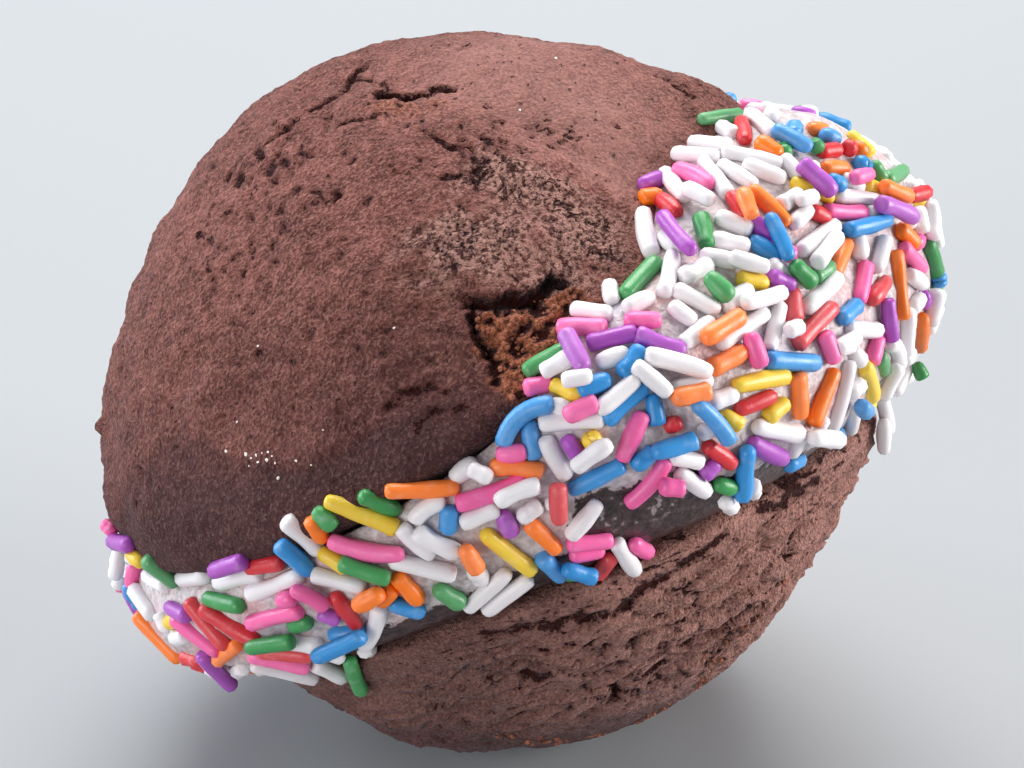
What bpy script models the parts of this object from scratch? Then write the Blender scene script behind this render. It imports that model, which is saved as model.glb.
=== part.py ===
# A whoopie pie: two soft chocolate cakes with a thick cream filling whose edge is set with sugar sprinkles.
# Metres, +Z up. The pie rests tipped to the left, as it lies on its round lower cake, with its front at -Y.
# The origin is on the surface it rests on, under the middle of its box.
import math
import random

import bmesh
import bpy
from mathutils import Vector, noise
from mathutils.bvhtree import BVHTree

MM = 0.001
GAP = 0.35 * MM

# The upper cake: its widest ring's middle, its leans in degrees, its form, and how far its top is off centre
TOP_CENTRE = Vector((-8.6, -1.5, 41.5)) * MM
TOP_LEAN_LEFT = 33.1
TOP_LEAN_BACK = 5.5
TOP_RADIUS = 31.4 * MM
TOP_HEIGHT = 21.2 * MM
TOP_TUCK = 3.4 * MM
TOP_OVAL = 0.032
TOP_OVAL_TURN = 66
TOP_SKEW = Vector((-2.7, 8.0)) * MM

# The lower cake, upside down and a little smaller
BOTTOM_CENTRE = Vector((4.0, -6.5, 22.4)) * MM
BOTTOM_LEAN_LEFT = 23.5
BOTTOM_LEAN_BACK = 22.3
BOTTOM_RADIUS = 27.5 * MM
BOTTOM_HEIGHT = 19.8 * MM
BOTTOM_TUCK = 1.9 * MM
BOTTOM_OVAL = 0.032
BOTTOM_OVAL_TURN = 38
BOTTOM_SKEW = Vector((-1.4, 8.0)) * MM

# Where each rim strays from its oval: direction in degrees, amount in mm, spread in degrees
TOP_RIM = ((-28, -3.2, 22), (2, 1.6, 12), (50, -1.8, 20))
BOTTOM_RIM = ((-3, 1.0, 14),)

# Both cakes: how square the dome is, where the underside starts to tuck in, as a share of the radius,
# and how far the skin reaches from the top to the widest ring, also as a share of the radius
DOME_POWER = 1.7
TUCK_START = 0.75
SKIN_REACH = 1.27
CAKE_SEGMENTS = 44
DOME_RINGS = 13
TUCK_RINGS = 3
BASE_RINGS = 2

# The broad swells and small wrinkles of the skin. They stand away from a point in the cake, this share of its
# height below the widest ring, and fade out over this last share of the dome
SWELL_SIZE = 14 * MM
SWELL_DEPTH = 0.7 * MM
WRINKLE_SIZE = 4.5 * MM
WRINKLE_DEPTH = 0.45 * MM
RELIEF_AIM = 0.33
RELIEF_FADE = 0.1

# Lumps, or dents where the amount is below 0: east, north, amount, spread, in mm on the unrolled skin
TOP_LUMPS = ((-26, -1, -1.7, 6), (30, 9, -1.8, 9))
BOTTOM_LUMPS = ((24, -8, -1.8, 8), (-25, -8, -1.5, 7))

# Cracks, folds and holes in mm on the unrolled skin: width, depth, then the places that the line joins
TOP_CRACKS = (
    (0.8, 1.0, (0.5, -9.2), (4.5, -8.0), (9.5, -5.7), (10.2, -1.3)),
    (0.9, 1.8, (11.5, -4.5), (12.6, -7.6), (15.7, -8.2)),
    (0.7, 0.8, (15.7, -8.2), (17.8, -7.7)),
    (0.8, 0.9, (7.5, -11.1), (11.3, -11.0)),
    (0.8, 0.9, (14.6, -15.0), (15.9, -16.6), (17.1, -16.8), (16.4, -20.0)),
    (1.1, 2.2, (11.8, -30.0), (15.5, -30.3), (20.0, -29.4)),
    (2.2, 1.1, (12.0, -33.5), (16.0, -33.5)),
    (0.8, 0.9, (23.9, -26.7), (26.7, -25.2)),
)
BOTTOM_CRACKS = (
    (0.9, 1.1, (2.6, -31.8), (6.0, -32.6), (9.0, -31.8), (13.2, -31.0), (15.6, -30.1)),
    (0.8, 0.9, (-9.7, -33.2), (-4.4, -33.0), (2.4, -31.9)),
    (0.8, 0.9, (7.7, -22.7), (10.1, -21.5), (11.7, -21.4)),
    (0.8, 1.0, (19.7, -28.2), (23.5, -25.0), (26.8, -21.0)),
    (1.1, 1.8, (0.1, -23.7), (0.1, -20.5)),
    (0.9, 0.9, (-6.3, -27.6), (-4.7, -27.4)),
    (0.8, 0.9, (2.6, -22.2), (4.8, -22.0)),
)
CRACK_REACHES = (2.6, 1.3)

# The filling reaches under each cake's edge, and bulges more where the wedge is thick
FILLING_REACH = 0.955
BULGE_SHARE = 0.45
BULGE_START = 2.5 * MM
BULGE_ROUNDNESS = 1.0
BAND_RINGS = 7

# Where the bulge strays from that: direction in degrees, amount in mm, spread in degrees
BULGE_SWELLS = ((-175, 2.6, 35), (-88, -1.0, 28), (45, -1.6, 28), (5, 1.0, 20))

# The sprinkles are short sugar rods, half sunk in the cream
SPRINKLE_COUNT = 195
SPRINKLE_RADIUS = 0.8 * MM
SPRINKLE_LENGTHS = (3.6 * MM, 5.0 * MM)
SPRINKLE_RISE = 0.25 * MM
SPRINKLE_TRIES = 14
SPRINKLE_SEED = 7
SPRINKLE_SIDES = 5
SPRINKLE_RINGS = 4

# Plain colours, as red, green and blue, and how rough each surface is
TOP_COLOUR = (0.115, 0.052, 0.04)
BOTTOM_COLOUR = (0.095, 0.042, 0.032)
CREAM_COLOUR = (0.85, 0.82, 0.82)
CAKE_ROUGHNESS = 0.8
CREAM_ROUGHNESS = 0.5


def axis_of(lean_left, lean_back):
    """The direction of a cake's axis, upwards, from its two leans in degrees."""
    left = math.radians(lean_left)
    back = math.radians(lean_back)
    return Vector((-math.sin(left) * math.cos(back), math.sin(back), math.cos(left) * math.cos(back)))


def distance_to_line(place, line):
    """How far a place lies from a line of straight stretches."""
    nearest = math.inf
    for start, end in zip(line, line[1:]):
        run = Vector(end) - Vector(start)
        share = (place - Vector(start)).dot(run) / run.length_squared
        nearest = min(nearest, (place - Vector(start) - run * min(max(share, 0), 1)).length)
    return nearest


def swell_at(angle, swells):
    """How far a rim stands out in one direction because of its swells."""
    reach = 0
    for direction, amount, spread in swells:
        apart = (math.degrees(angle) - direction + 180) % 360 - 180
        reach += amount * MM * math.exp(-((apart / spread) ** 2))
    return reach


class Cake:
    """A dome with a flat underside; side is 1 where the dome points up and -1 where it points down."""

    def __init__(self, side, centre, axis, radius, height, tuck):
        self.side = side
        self.centre = centre
        self.axis = axis
        self.radius = radius
        self.height = height
        self.tuck = tuck
        self.across = (Vector((1, 0, 0)) - axis * axis.x).normalized()
        self.away = axis.cross(self.across)

    def shape(self, oval, oval_turn, skew, rim, lumps, cracks):
        """Sets how the cake strays from a round, even dome."""
        self.oval = oval
        self.oval_turn = math.radians(oval_turn)
        self.skew = skew
        self.rim = rim
        self.lumps = lumps
        self.cracks = cracks

    def at(self, angle, share, rise):
        """The point at a share of the rim's radius and a rise above the widest ring, towards the dome."""
        reach = self.radius * (1 + self.oval * math.cos(2 * (angle - self.oval_turn)))
        reach += swell_at(angle, self.rim)
        lean = self.skew * (max(rise, 0) / self.height)
        east = reach * share * math.cos(angle) + lean.x
        north = reach * share * math.sin(angle) + lean.y
        return self.centre + self.across * east + self.away * north + self.axis * (self.side * rise)

    def on_skin(self, angle, turn):
        """The place on the unrolled skin, in mm from the dome's top."""
        return Vector((math.cos(angle), math.sin(angle))) * (turn * SKIN_REACH * self.radius / MM)

    def dome(self, angle, turn):
        """A point of the dome: turn is 0 at its top and 1 at the widest ring."""
        level = math.cos(turn * math.pi / 2)
        share = max(0, 1 - level ** DOME_POWER) ** (1 / DOME_POWER)
        smooth = self.at(angle, share, self.height * level)
        out = (smooth - self.centre + self.axis * (self.side * self.height * RELIEF_AIM)).normalized()
        fade = min(1, (1 - turn) / RELIEF_FADE)
        return smooth + out * (self.relief(smooth, self.on_skin(angle, turn)) * fade)

    def tucked(self, angle, turn, sink):
        """A point of the rounded edge below the widest ring: turn is 1 where the flat begins."""
        share = TUCK_START + (1 - TUCK_START) * math.cos(turn * math.pi / 2)
        return self.at(angle, share, -self.tuck * math.sin(turn * math.pi / 2) - sink)

    def flat(self, angle, turn, sink):
        """A point of the flat underside: turn is 0 in its middle and 1 where the edge begins to rise."""
        return self.at(angle, TUCK_START * turn, -self.tuck - sink)

    def relief(self, point, skin):
        """How far the skin stands out: swells, wrinkles and lumps, less the cracks."""
        height = SWELL_DEPTH * noise.noise(point / SWELL_SIZE)
        height += WRINKLE_DEPTH * noise.noise(point / WRINKLE_SIZE)
        for east, north, amount, spread in self.lumps:
            height += amount * MM * math.exp(-(((skin - Vector((east, north))).length / spread) ** 2))
        for width, depth, *line in self.cracks:
            height -= depth * MM * math.exp(-((distance_to_line(skin, line) / width) ** 2))
        return height


def place_on_ball(point, rings):
    """The angle round a ball, and the ring counted from its top."""
    return math.atan2(point.y, point.x), point.angle(Vector((0, 0, 1))) / math.pi * rings


def refine_cracks(mesh, cake, rings):
    """Divides the faces along the cracks more finely, while the mesh is still a ball."""
    for reach in CRACK_REACHES:
        near = []
        for edge in mesh.edges:
            angle, ring = place_on_ball((edge.verts[0].co + edge.verts[1].co) / 2, rings)
            skin = cake.on_skin(angle, ring / DOME_RINGS)
            if any(distance_to_line(skin, line) < reach for width, depth, *line in cake.cracks):
                near.append(edge)
        bmesh.ops.subdivide_edges(mesh, edges=near, cuts=1, use_grid_fill=True)


def cake_mesh(cake):
    """The cake's closed skin: dome, tucked edge and flat underside, shaped from a ball."""
    rings = DOME_RINGS + TUCK_RINGS + BASE_RINGS
    mesh = bmesh.new()
    bmesh.ops.create_uvsphere(mesh, u_segments=CAKE_SEGMENTS, v_segments=rings, radius=1)
    refine_cracks(mesh, cake, rings)
    for vert in mesh.verts:
        angle, ring = place_on_ball(vert.co, rings)
        below = ring - DOME_RINGS
        if below <= 0:
            vert.co = cake.dome(angle, ring / DOME_RINGS)
        elif below <= TUCK_RINGS:
            vert.co = cake.tucked(angle, below / TUCK_RINGS, 0)
        else:
            vert.co = cake.flat(angle, 1 - (below - TUCK_RINGS) / BASE_RINGS, 0)
    return mesh


def rest_flat(mesh):
    """Cuts the small flat spot that the pie rests on."""
    geometry = mesh.verts[:] + mesh.edges[:] + mesh.faces[:]
    cut = bmesh.ops.bisect_plane(mesh, geom=geometry, plane_no=(0, 0, -1), clear_outer=True)
    rim = [item for item in cut["geom_cut"] if isinstance(item, bmesh.types.BMEdge)]
    bmesh.ops.edgeloop_fill(mesh, edges=rim)


class Filling:
    """The cream between two cakes: a hair's gap from their undersides, it bulges out between their rims."""

    def __init__(self, top, bottom):
        self.top = top
        self.bottom = bottom
        self.reach = math.acos((FILLING_REACH - TUCK_START) / (1 - TUCK_START)) * 2 / math.pi

    def edges(self, angle):
        """The open edge's upper and lower ends in one direction."""
        return self.top.tucked(angle, self.reach, GAP), self.bottom.tucked(angle, self.reach, GAP)

    def thickness(self, angle):
        """The width of the open edge from cake to cake."""
        upper, lower = self.edges(angle)
        return (upper - lower).length

    def band(self, angle, share):
        """A point of the open edge: share is 0 at the upper cake and 1 at the lower one."""
        upper, lower = self.edges(angle)
        down = (lower - upper).normalized()
        out = (upper + lower) / 2 - (self.top.centre + self.bottom.centre) / 2
        out = (out - down * out.dot(down)).normalized()
        bulge = BULGE_SHARE * (self.thickness(angle) - BULGE_START) + swell_at(angle, BULGE_SWELLS)
        arc = math.pi * share
        return upper.lerp(lower, (1 - math.cos(arc)) / 2) + out * (bulge * math.sin(arc) ** BULGE_ROUNDNESS)

    def place(self, angle, share):
        """A place on the open edge: its point, the way out of the cream, and the way round the pie."""
        step = 0.01
        share = min(max(share, 2 * step), 1 - 2 * step)
        point = self.band(angle, share)
        round_way = (self.band(angle + step, share) - point).normalized()
        down_way = (self.band(angle, share + step) - point).normalized()
        return point, down_way.cross(round_way).normalized(), round_way

    def mesh(self):
        """The cream's closed skin, from the middle of its upper face over the open edge to the lower face."""
        face_rings = TUCK_RINGS + BASE_RINGS
        rings = 2 * face_rings + BAND_RINGS
        mesh = bmesh.new()
        bmesh.ops.create_uvsphere(mesh, u_segments=CAKE_SEGMENTS, v_segments=rings, radius=1)
        for vert in mesh.verts:
            angle, ring = place_on_ball(vert.co, rings)
            ring = round(ring)
            cake = self.top if ring <= face_rings else self.bottom
            inward = min(ring, rings - ring)
            if inward <= BASE_RINGS:
                vert.co = cake.flat(angle, inward / BASE_RINGS, GAP)
            elif inward <= face_rings:
                vert.co = cake.tucked(angle, 1 - (1 - self.reach) * (inward - BASE_RINGS) / TUCK_RINGS, GAP)
            else:
                vert.co = self.band(angle, (ring - face_rings) / BAND_RINGS)
        return mesh


def sprinkle_mesh(place, out, along, length):
    """A short rod of sugar with rounded ends, lying on the cream."""
    mesh = bmesh.new()
    bmesh.ops.create_uvsphere(mesh, u_segments=SPRINKLE_SIDES, v_segments=SPRINKLE_RINGS, radius=1)
    side = out.cross(along)
    tips = (min(mesh.verts, key=lambda vert: vert.co.z), max(mesh.verts, key=lambda vert: vert.co.z))
    for vert in mesh.verts:
        across = vert.co.xy
        if vert not in tips:
            across = across.normalized() * SPRINKLE_RADIUS
        vert.co = place + along * (vert.co.z * length / 2) + side * across.x + out * across.y
    return mesh


def is_clear(skins, place, along, length):
    """True where a rod keeps clear of both cakes and of the surface below."""
    for reach in (-0.5, 0, 0.5):
        spot = place + along * (length * reach)
        if spot.z < SPRINKLE_RADIUS + GAP:
            return False
        for skin in skins:
            if skin.find_nearest(spot)[3] < SPRINKLE_RADIUS + GAP:
                return False
    return True


def scatter_sprinkles(filling, cakes, collection):
    """Spreads the sprinkles evenly round the open edge: each takes the emptiest of a few places drawn."""
    draw = random.Random(SPRINKLE_SEED)
    skins = [BVHTree.FromObject(cake, bpy.context.evaluated_depsgraph_get()) for cake in cakes]
    widest = max(filling.thickness(math.tau * turn / CAKE_SEGMENTS) for turn in range(CAKE_SEGMENTS))
    taken = []
    while len(taken) < SPRINKLE_COUNT:
        choices = []
        while len(choices) < SPRINKLE_TRIES:
            angle = draw.uniform(-math.pi, math.pi)
            point, out, round_way = filling.place(angle, draw.random())
            turn = draw.uniform(0, math.pi)
            along = round_way * math.cos(turn) + out.cross(round_way) * math.sin(turn)
            length = draw.uniform(*SPRINKLE_LENGTHS)
            point += out * SPRINKLE_RISE
            wide_enough = draw.random() * widest < filling.thickness(angle)
            if wide_enough and is_clear(skins, point, along, length):
                room = min([(point - other).length for other in taken], default=math.inf)
                choices.append((room, point, out, along, length))
        room, point, out, along, length = max(choices, key=lambda choice: choice[0])
        taken.append(point)
        make_object("sprinkle", sprinkle_mesh(point, out, along, length), collection)


def make_object(name, mesh, collection):
    """Makes an object of a bmesh, in triangles."""
    bmesh.ops.triangulate(mesh, faces=mesh.faces)
    bmesh.ops.recalc_face_normals(mesh, faces=mesh.faces)
    data = bpy.data.meshes.new(name)
    mesh.to_mesh(data)
    mesh.free()
    piece = bpy.data.objects.new(name, data)
    collection.objects.link(piece)
    return piece


def give_material(piece, colour, roughness):
    """Gives an object its own plain material."""
    material = bpy.data.materials.new(piece.name)
    material.use_nodes = True
    shader = material.node_tree.nodes["Principled BSDF"]
    shader.inputs["Base Color"].default_value = (*colour, 1)
    shader.inputs["Roughness"].default_value = roughness
    piece.data.materials.clear()
    piece.data.materials.append(material)


def join_all(piece, collection):
    """Joins a collection's objects to a piece with one union, and removes them."""
    union = piece.modifiers.new("Sprinkles", "BOOLEAN")
    union.operation = "UNION"
    union.operand_type = "COLLECTION"
    union.collection = collection
    union.solver = "MANIFOLD"
    evaluated = piece.evaluated_get(bpy.context.evaluated_depsgraph_get())
    joined = bpy.data.meshes.new_from_object(evaluated)
    piece.modifiers.remove(union)
    piece.data = joined
    for item in list(collection.objects):
        bpy.data.objects.remove(item)
    bpy.data.collections.remove(collection)


def keep_outer_skin(piece):
    """Drops every shell but the largest: hollows that the joining sealed, and loose scraps."""
    mesh = bmesh.new()
    mesh.from_mesh(piece.data)
    left = set(mesh.faces)
    shells = []
    while left:
        shell = set()
        border = {left.pop()}
        while border:
            shell |= border
            border = {near for face in border for edge in face.edges for near in edge.link_faces} - shell
        left -= shell
        shells.append(shell)
    shells.sort(key=len)
    for shell in shells[:-1]:
        bmesh.ops.delete(mesh, geom=list(shell), context="FACES")
    mesh.to_mesh(piece.data)
    mesh.free()


for item in list(bpy.data.objects):
    bpy.data.objects.remove(item)
pie = bpy.data.collections.new("whoopie_pie")
bpy.context.scene.collection.children.link(pie)
sprinkles = bpy.data.collections.new("sprinkles")
bpy.context.scene.collection.children.link(sprinkles)

top = Cake(1, TOP_CENTRE, axis_of(TOP_LEAN_LEFT, TOP_LEAN_BACK), TOP_RADIUS, TOP_HEIGHT, TOP_TUCK)
top.shape(TOP_OVAL, TOP_OVAL_TURN, TOP_SKEW, TOP_RIM, TOP_LUMPS, TOP_CRACKS)
top_cake = make_object("top_cake", cake_mesh(top), pie)
give_material(top_cake, TOP_COLOUR, CAKE_ROUGHNESS)

bottom_axis = axis_of(BOTTOM_LEAN_LEFT, BOTTOM_LEAN_BACK)
bottom = Cake(-1, BOTTOM_CENTRE, bottom_axis, BOTTOM_RADIUS, BOTTOM_HEIGHT, BOTTOM_TUCK)
bottom.shape(BOTTOM_OVAL, BOTTOM_OVAL_TURN, BOTTOM_SKEW, BOTTOM_RIM, BOTTOM_LUMPS, BOTTOM_CRACKS)
bottom_skin = cake_mesh(bottom)
rest_flat(bottom_skin)
bottom_cake = make_object("bottom_cake", bottom_skin, pie)
give_material(bottom_cake, BOTTOM_COLOUR, CAKE_ROUGHNESS)

filling = Filling(top, bottom)
cream = make_object("filling", filling.mesh(), pie)
bpy.context.view_layer.update()
scatter_sprinkles(filling, (top_cake, bottom_cake), sprinkles)
join_all(cream, sprinkles)
keep_outer_skin(cream)
give_material(cream, CREAM_COLOUR, CREAM_ROUGHNESS)
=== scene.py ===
import math
import random

import bmesh
import bpy
import numpy as np
from mathutils import Matrix, Vector, noise
from mathutils.bvhtree import BVHTree


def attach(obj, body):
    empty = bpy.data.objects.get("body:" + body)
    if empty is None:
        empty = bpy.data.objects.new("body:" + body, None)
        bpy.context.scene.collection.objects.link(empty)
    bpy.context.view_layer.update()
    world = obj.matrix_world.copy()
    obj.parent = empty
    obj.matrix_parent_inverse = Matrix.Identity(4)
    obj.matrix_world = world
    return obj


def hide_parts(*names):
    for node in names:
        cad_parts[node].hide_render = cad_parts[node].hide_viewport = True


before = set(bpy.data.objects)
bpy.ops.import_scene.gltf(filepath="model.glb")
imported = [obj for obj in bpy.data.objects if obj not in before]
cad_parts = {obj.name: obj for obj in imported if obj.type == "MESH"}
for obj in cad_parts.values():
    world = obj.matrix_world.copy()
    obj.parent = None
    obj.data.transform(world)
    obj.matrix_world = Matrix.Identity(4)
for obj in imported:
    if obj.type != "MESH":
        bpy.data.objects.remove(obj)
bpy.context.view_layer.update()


# The upper cake. A blob of chocolate batter, baked to a soft dome with a dry, dull, finely wrinkled
# skin: torn near the crown, scuffed at the front right, and split down to the crumb above the
# cream there. Its underside is stuck to the cream.
MM = 0.001
DOME_POWER = 1.7
TUCK_START = 0.75
SKIN_REACH = 1.27
DOME_SHARE = 0.8
TUCK_SHARE = 0.14
SWELL = (14, 0.7)
WRINKLE = (4.5, 0.45)
RELIEF_AIM = 0.33
RELIEF_FADE = 0.1
CAKE_CUTS = 127
WANDERS = ((2.2, 0.5), (0.55, 0.3))
CRACK_RAGS = 0.2
CRACK_REACH = 3
# A crack's walls: shares of its depth, and how far beside it each of them fades out
CRACK_WALLS = ((0.5, 0.22), (0.04, 1.1))
FIELD_REACH = 0.8


def noise_at(points, size, detail=1, seed=0):
    """Soft noise from about -1 to 1 at each point, with features of this size."""
    shift = Vector((seed * 17.3, seed * 5.1, seed * 9.7))
    places = (Vector(point) / size + shift for point in points)
    if detail == 1:
        return np.array([noise.noise(place) for place in places])
    return np.array([noise.fractal(place, 1.0, 2.0, detail) for place in places])


def line_distance(places, line):
    """How far each place lies from a line of straight stretches."""
    nearest = np.full(len(places), np.inf)
    for start, end in zip(line, line[1:]):
        start = np.array(start)
        run = np.array(end) - start
        share = np.clip((places - start) @ run / (run @ run), 0, 1)
        apart = np.linalg.norm(places - start - share[:, None] * run, axis=1)
        nearest = np.minimum(nearest, apart)
    return nearest


def bell(distance, spread):
    """A smooth hump, 1 in its middle."""
    return np.exp(-((distance / spread) ** 2))


def swell_at(angle, swells):
    """How far a rim stands out in a direction, from its swells: direction, amount, spread."""
    reach = 0 * angle
    for direction, amount, spread in swells:
        apart = (np.degrees(angle) - direction + 180) % 360 - 180
        reach = reach + amount * bell(apart, spread)
    return reach


def unit(ways):
    """The same directions with a length of one."""
    return ways / np.linalg.norm(ways, axis=-1, keepdims=True)


class Cake:
    """A dome with a flat underside; side is 1 where the dome points up and -1 where down.

    Its shape: radius, height, tuck, oval, skew, the rim's swells, and lumps on the skin.
    """

    def __init__(self, side, centre, leans, oval_turn, **shape):
        left, back = (math.radians(lean) for lean in leans)
        upright = math.cos(back)
        self.side = side
        self.centre = np.array(centre)
        self.axis = np.array((-math.sin(left) * upright, math.sin(back), math.cos(left) * upright))
        self.across = unit(np.array((1, 0, 0)) - self.axis * self.axis[0])
        self.away = np.cross(self.axis, self.across)
        self.oval_turn = math.radians(oval_turn)
        vars(self).update(shape)

    def at(self, angle, share, rise):
        """The points at a share of the rim's radius and a rise above it, towards the dome."""
        reach = self.radius * (1 + self.oval * np.cos(2 * (angle - self.oval_turn)))
        reach = reach + swell_at(angle, self.rim)
        lean = np.maximum(rise, 0) / self.height
        east = reach * share * np.cos(angle) + self.skew[0] * lean
        north = reach * share * np.sin(angle) + self.skew[1] * lean
        up = self.side * (rise + 0 * angle)
        level = self.centre + np.outer(east, self.across) + np.outer(north, self.away)
        return level + np.outer(up, self.axis)

    def smooth_dome(self, angle, turn):
        """The dome without relief: turn is 0 at its top and 1 at the widest ring."""
        level = np.cos(turn * math.pi / 2)
        share = np.maximum(0, 1 - level**DOME_POWER) ** (1 / DOME_POWER)
        return self.at(angle, share, self.height * level)

    def tucked(self, angle, turn, sink=0):
        """The rounded edge below the widest ring: turn is 1 where the flat begins."""
        share = TUCK_START + (1 - TUCK_START) * np.cos(turn * math.pi / 2)
        return self.at(angle, share, -self.tuck * np.sin(turn * math.pi / 2) - sink)

    def flat(self, angle, turn, sink=0):
        """The flat underside: turn is 0 in its middle and 1 where the edge begins to rise."""
        return self.at(angle, TUCK_START * turn, 0 * turn - self.tuck - sink)

    def outward(self, points):
        """The way in which the skin's relief stands out at each point."""
        return unit(points - self.centre + self.axis * (self.side * self.height * RELIEF_AIM))

    def broad_relief(self, points, skin):
        """The swells, wrinkles and lumps that the solid cake has too."""
        height = SWELL[1] * noise_at(points, SWELL[0]) + WRINKLE[1] * noise_at(points, WRINKLE[0])
        for east, north, amount, spread in self.lumps:
            height += amount * bell(np.hypot(skin[:, 0] - east, skin[:, 1] - north), spread)
        return height


def wandered(skin, points):
    """The places on the skin moved about a little, so that what they draw comes out ragged."""
    shift = 0
    for number, (size, amount) in enumerate(WANDERS):
        pair = [noise_at(points, size, 2, seed=31 + 2 * number + side) for side in (0, 1)]
        shift = shift + amount * np.stack(pair, 1)
    return skin + shift


def crack_relief(bent, points, cracks):
    """The depth of ragged cracks, and a field of painted shade that is 1 in them and falls off
    beside them.
    """
    broken = noise_at(points, 1.0, 2, seed=3)
    depth_here = np.zeros(len(points))
    field = np.zeros(len(points))
    for width, depth, *line in cracks:
        away = line_distance(bent, line) - CRACK_RAGS * broken
        near = away < width + CRACK_REACH
        beside = np.maximum(0, away[near] - width / 2)
        depth_here[near] += depth * sum(share * bell(beside, wall) for share, wall in CRACK_WALLS)
        darkness = min(0.95, 0.66 + 0.2 * depth) + 0.2 * broken[near]
        mark = np.clip(1 - beside / FIELD_REACH, 0, 1) * darkness
        field[near] = np.maximum(field[near], mark)
    return depth_here, field


def pit_relief(bent, pits):
    """The same for small pits, each given as east, north, radius and depth, with a field of painted
    shade in them.
    """
    depth_here = np.zeros(len(bent))
    field = np.zeros(len(bent))
    for east, north, radius, depth in pits:
        away = np.hypot(bent[:, 0] - east, bent[:, 1] - north)
        near = away < radius + FIELD_REACH
        beside = np.maximum(0, away[near] - radius / 2)
        dent = 0.8 * depth * bell(beside, 0.7 * radius)
        darkness = min(1.0, 0.44 + 0.9 * depth)
        mark = np.clip(1 - beside / FIELD_REACH, 0, 1) * darkness
        depth_here[near] = np.maximum(depth_here[near], dent)
        field[near] = np.maximum(field[near], mark)
    return depth_here, field


def scatter_pits(cake, draw, count, clusters, sizes, depths):
    """Small pits, half of them round a few places on the skin: east, north, spread."""
    pits = []
    for number in range(count):
        if number % 2:
            east, north, spread = clusters[draw.randrange(len(clusters))]
            place = (draw.gauss(east, spread), draw.gauss(north, spread))
        else:
            turn = draw.uniform(0, 2 * math.pi)
            away = SKIN_REACH * cake.radius * math.sqrt(draw.random())
            place = (away * math.cos(turn), away * math.sin(turn))
        pits.append((*place, draw.uniform(*sizes), draw.uniform(*depths)))
    return pits


def add_piece(name, mesh):
    """A new object at the origin, made from a bmesh."""
    data = bpy.data.meshes.new(name)
    mesh.to_mesh(data)
    mesh.free()
    piece = bpy.data.objects.new(name, data)
    bpy.context.scene.collection.objects.link(piece)
    return piece


def move_points(piece, points):
    """Puts a piece's vertices at these places, and shades it smooth."""
    piece.data.vertices.foreach_set("co", (points * MM).ravel())
    piece.data.update()
    piece.data.shade_smooth()


def add_mark(piece, mark, values):
    """Keeps a value at each of a piece's vertices, for its material."""
    piece.data.attributes.new(mark, "FLOAT", "POINT").data.foreach_set("value", values)


def cake_piece(name, cake, detail):
    """A cake's closed skin, shaped from a finely divided ball, with detail's fine relief."""
    mesh = bmesh.new()
    bmesh.ops.create_cube(mesh, size=2)
    bmesh.ops.subdivide_edges(mesh, edges=mesh.edges, cuts=CAKE_CUTS, use_grid_fill=True)
    piece = add_piece(name, mesh)
    data = piece.data
    ball = np.empty(len(data.vertices) * 3)
    data.vertices.foreach_get("co", ball)
    ball = unit(np.tan(ball.reshape(-1, 3) * math.pi / 4))

    angle = np.arctan2(ball[:, 1], ball[:, 0])
    depth = np.arccos(np.clip(ball[:, 2], -1, 1)) / math.pi
    on_dome = depth <= DOME_SHARE
    on_tuck = ~on_dome & (depth <= DOME_SHARE + TUCK_SHARE)
    on_flat = ~on_dome & ~on_tuck
    turn = np.minimum(depth / DOME_SHARE, 1)
    points = np.empty_like(ball)
    points[on_dome] = cake.smooth_dome(angle[on_dome], turn[on_dome])
    points[on_tuck] = cake.tucked(angle[on_tuck], (depth[on_tuck] - DOME_SHARE) / TUCK_SHARE)
    inward = (1 - depth[on_flat]) / (1 - DOME_SHARE - TUCK_SHARE)
    points[on_flat] = cake.flat(angle[on_flat], inward)

    away = turn * SKIN_REACH * cake.radius
    skin = np.stack([np.cos(angle), np.sin(angle)], 1) * away[:, None]
    fade = np.clip((1 - turn) / RELIEF_FADE, 0, 1)
    shown = ~on_flat
    height = np.zeros(len(points))
    height[on_dome] = cake.broad_relief(points[on_dome], skin[on_dome]) * fade[on_dome]
    fine, marks = detail(points[shown], skin[shown], fade[shown])
    height[shown] += fine
    points += cake.outward(points) * height[:, None]
    points[:, 2] = np.maximum(points[:, 2], 0)

    move_points(piece, points)
    for mark, values in marks.items():
        whole = np.zeros(len(points))
        whole[shown] = values
        add_mark(piece, mark, whole)
    mesh = bmesh.new()
    mesh.from_mesh(data)
    bmesh.ops.recalc_face_normals(mesh, faces=mesh.faces)
    mesh.to_mesh(data)
    mesh.free()
    return piece


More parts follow.
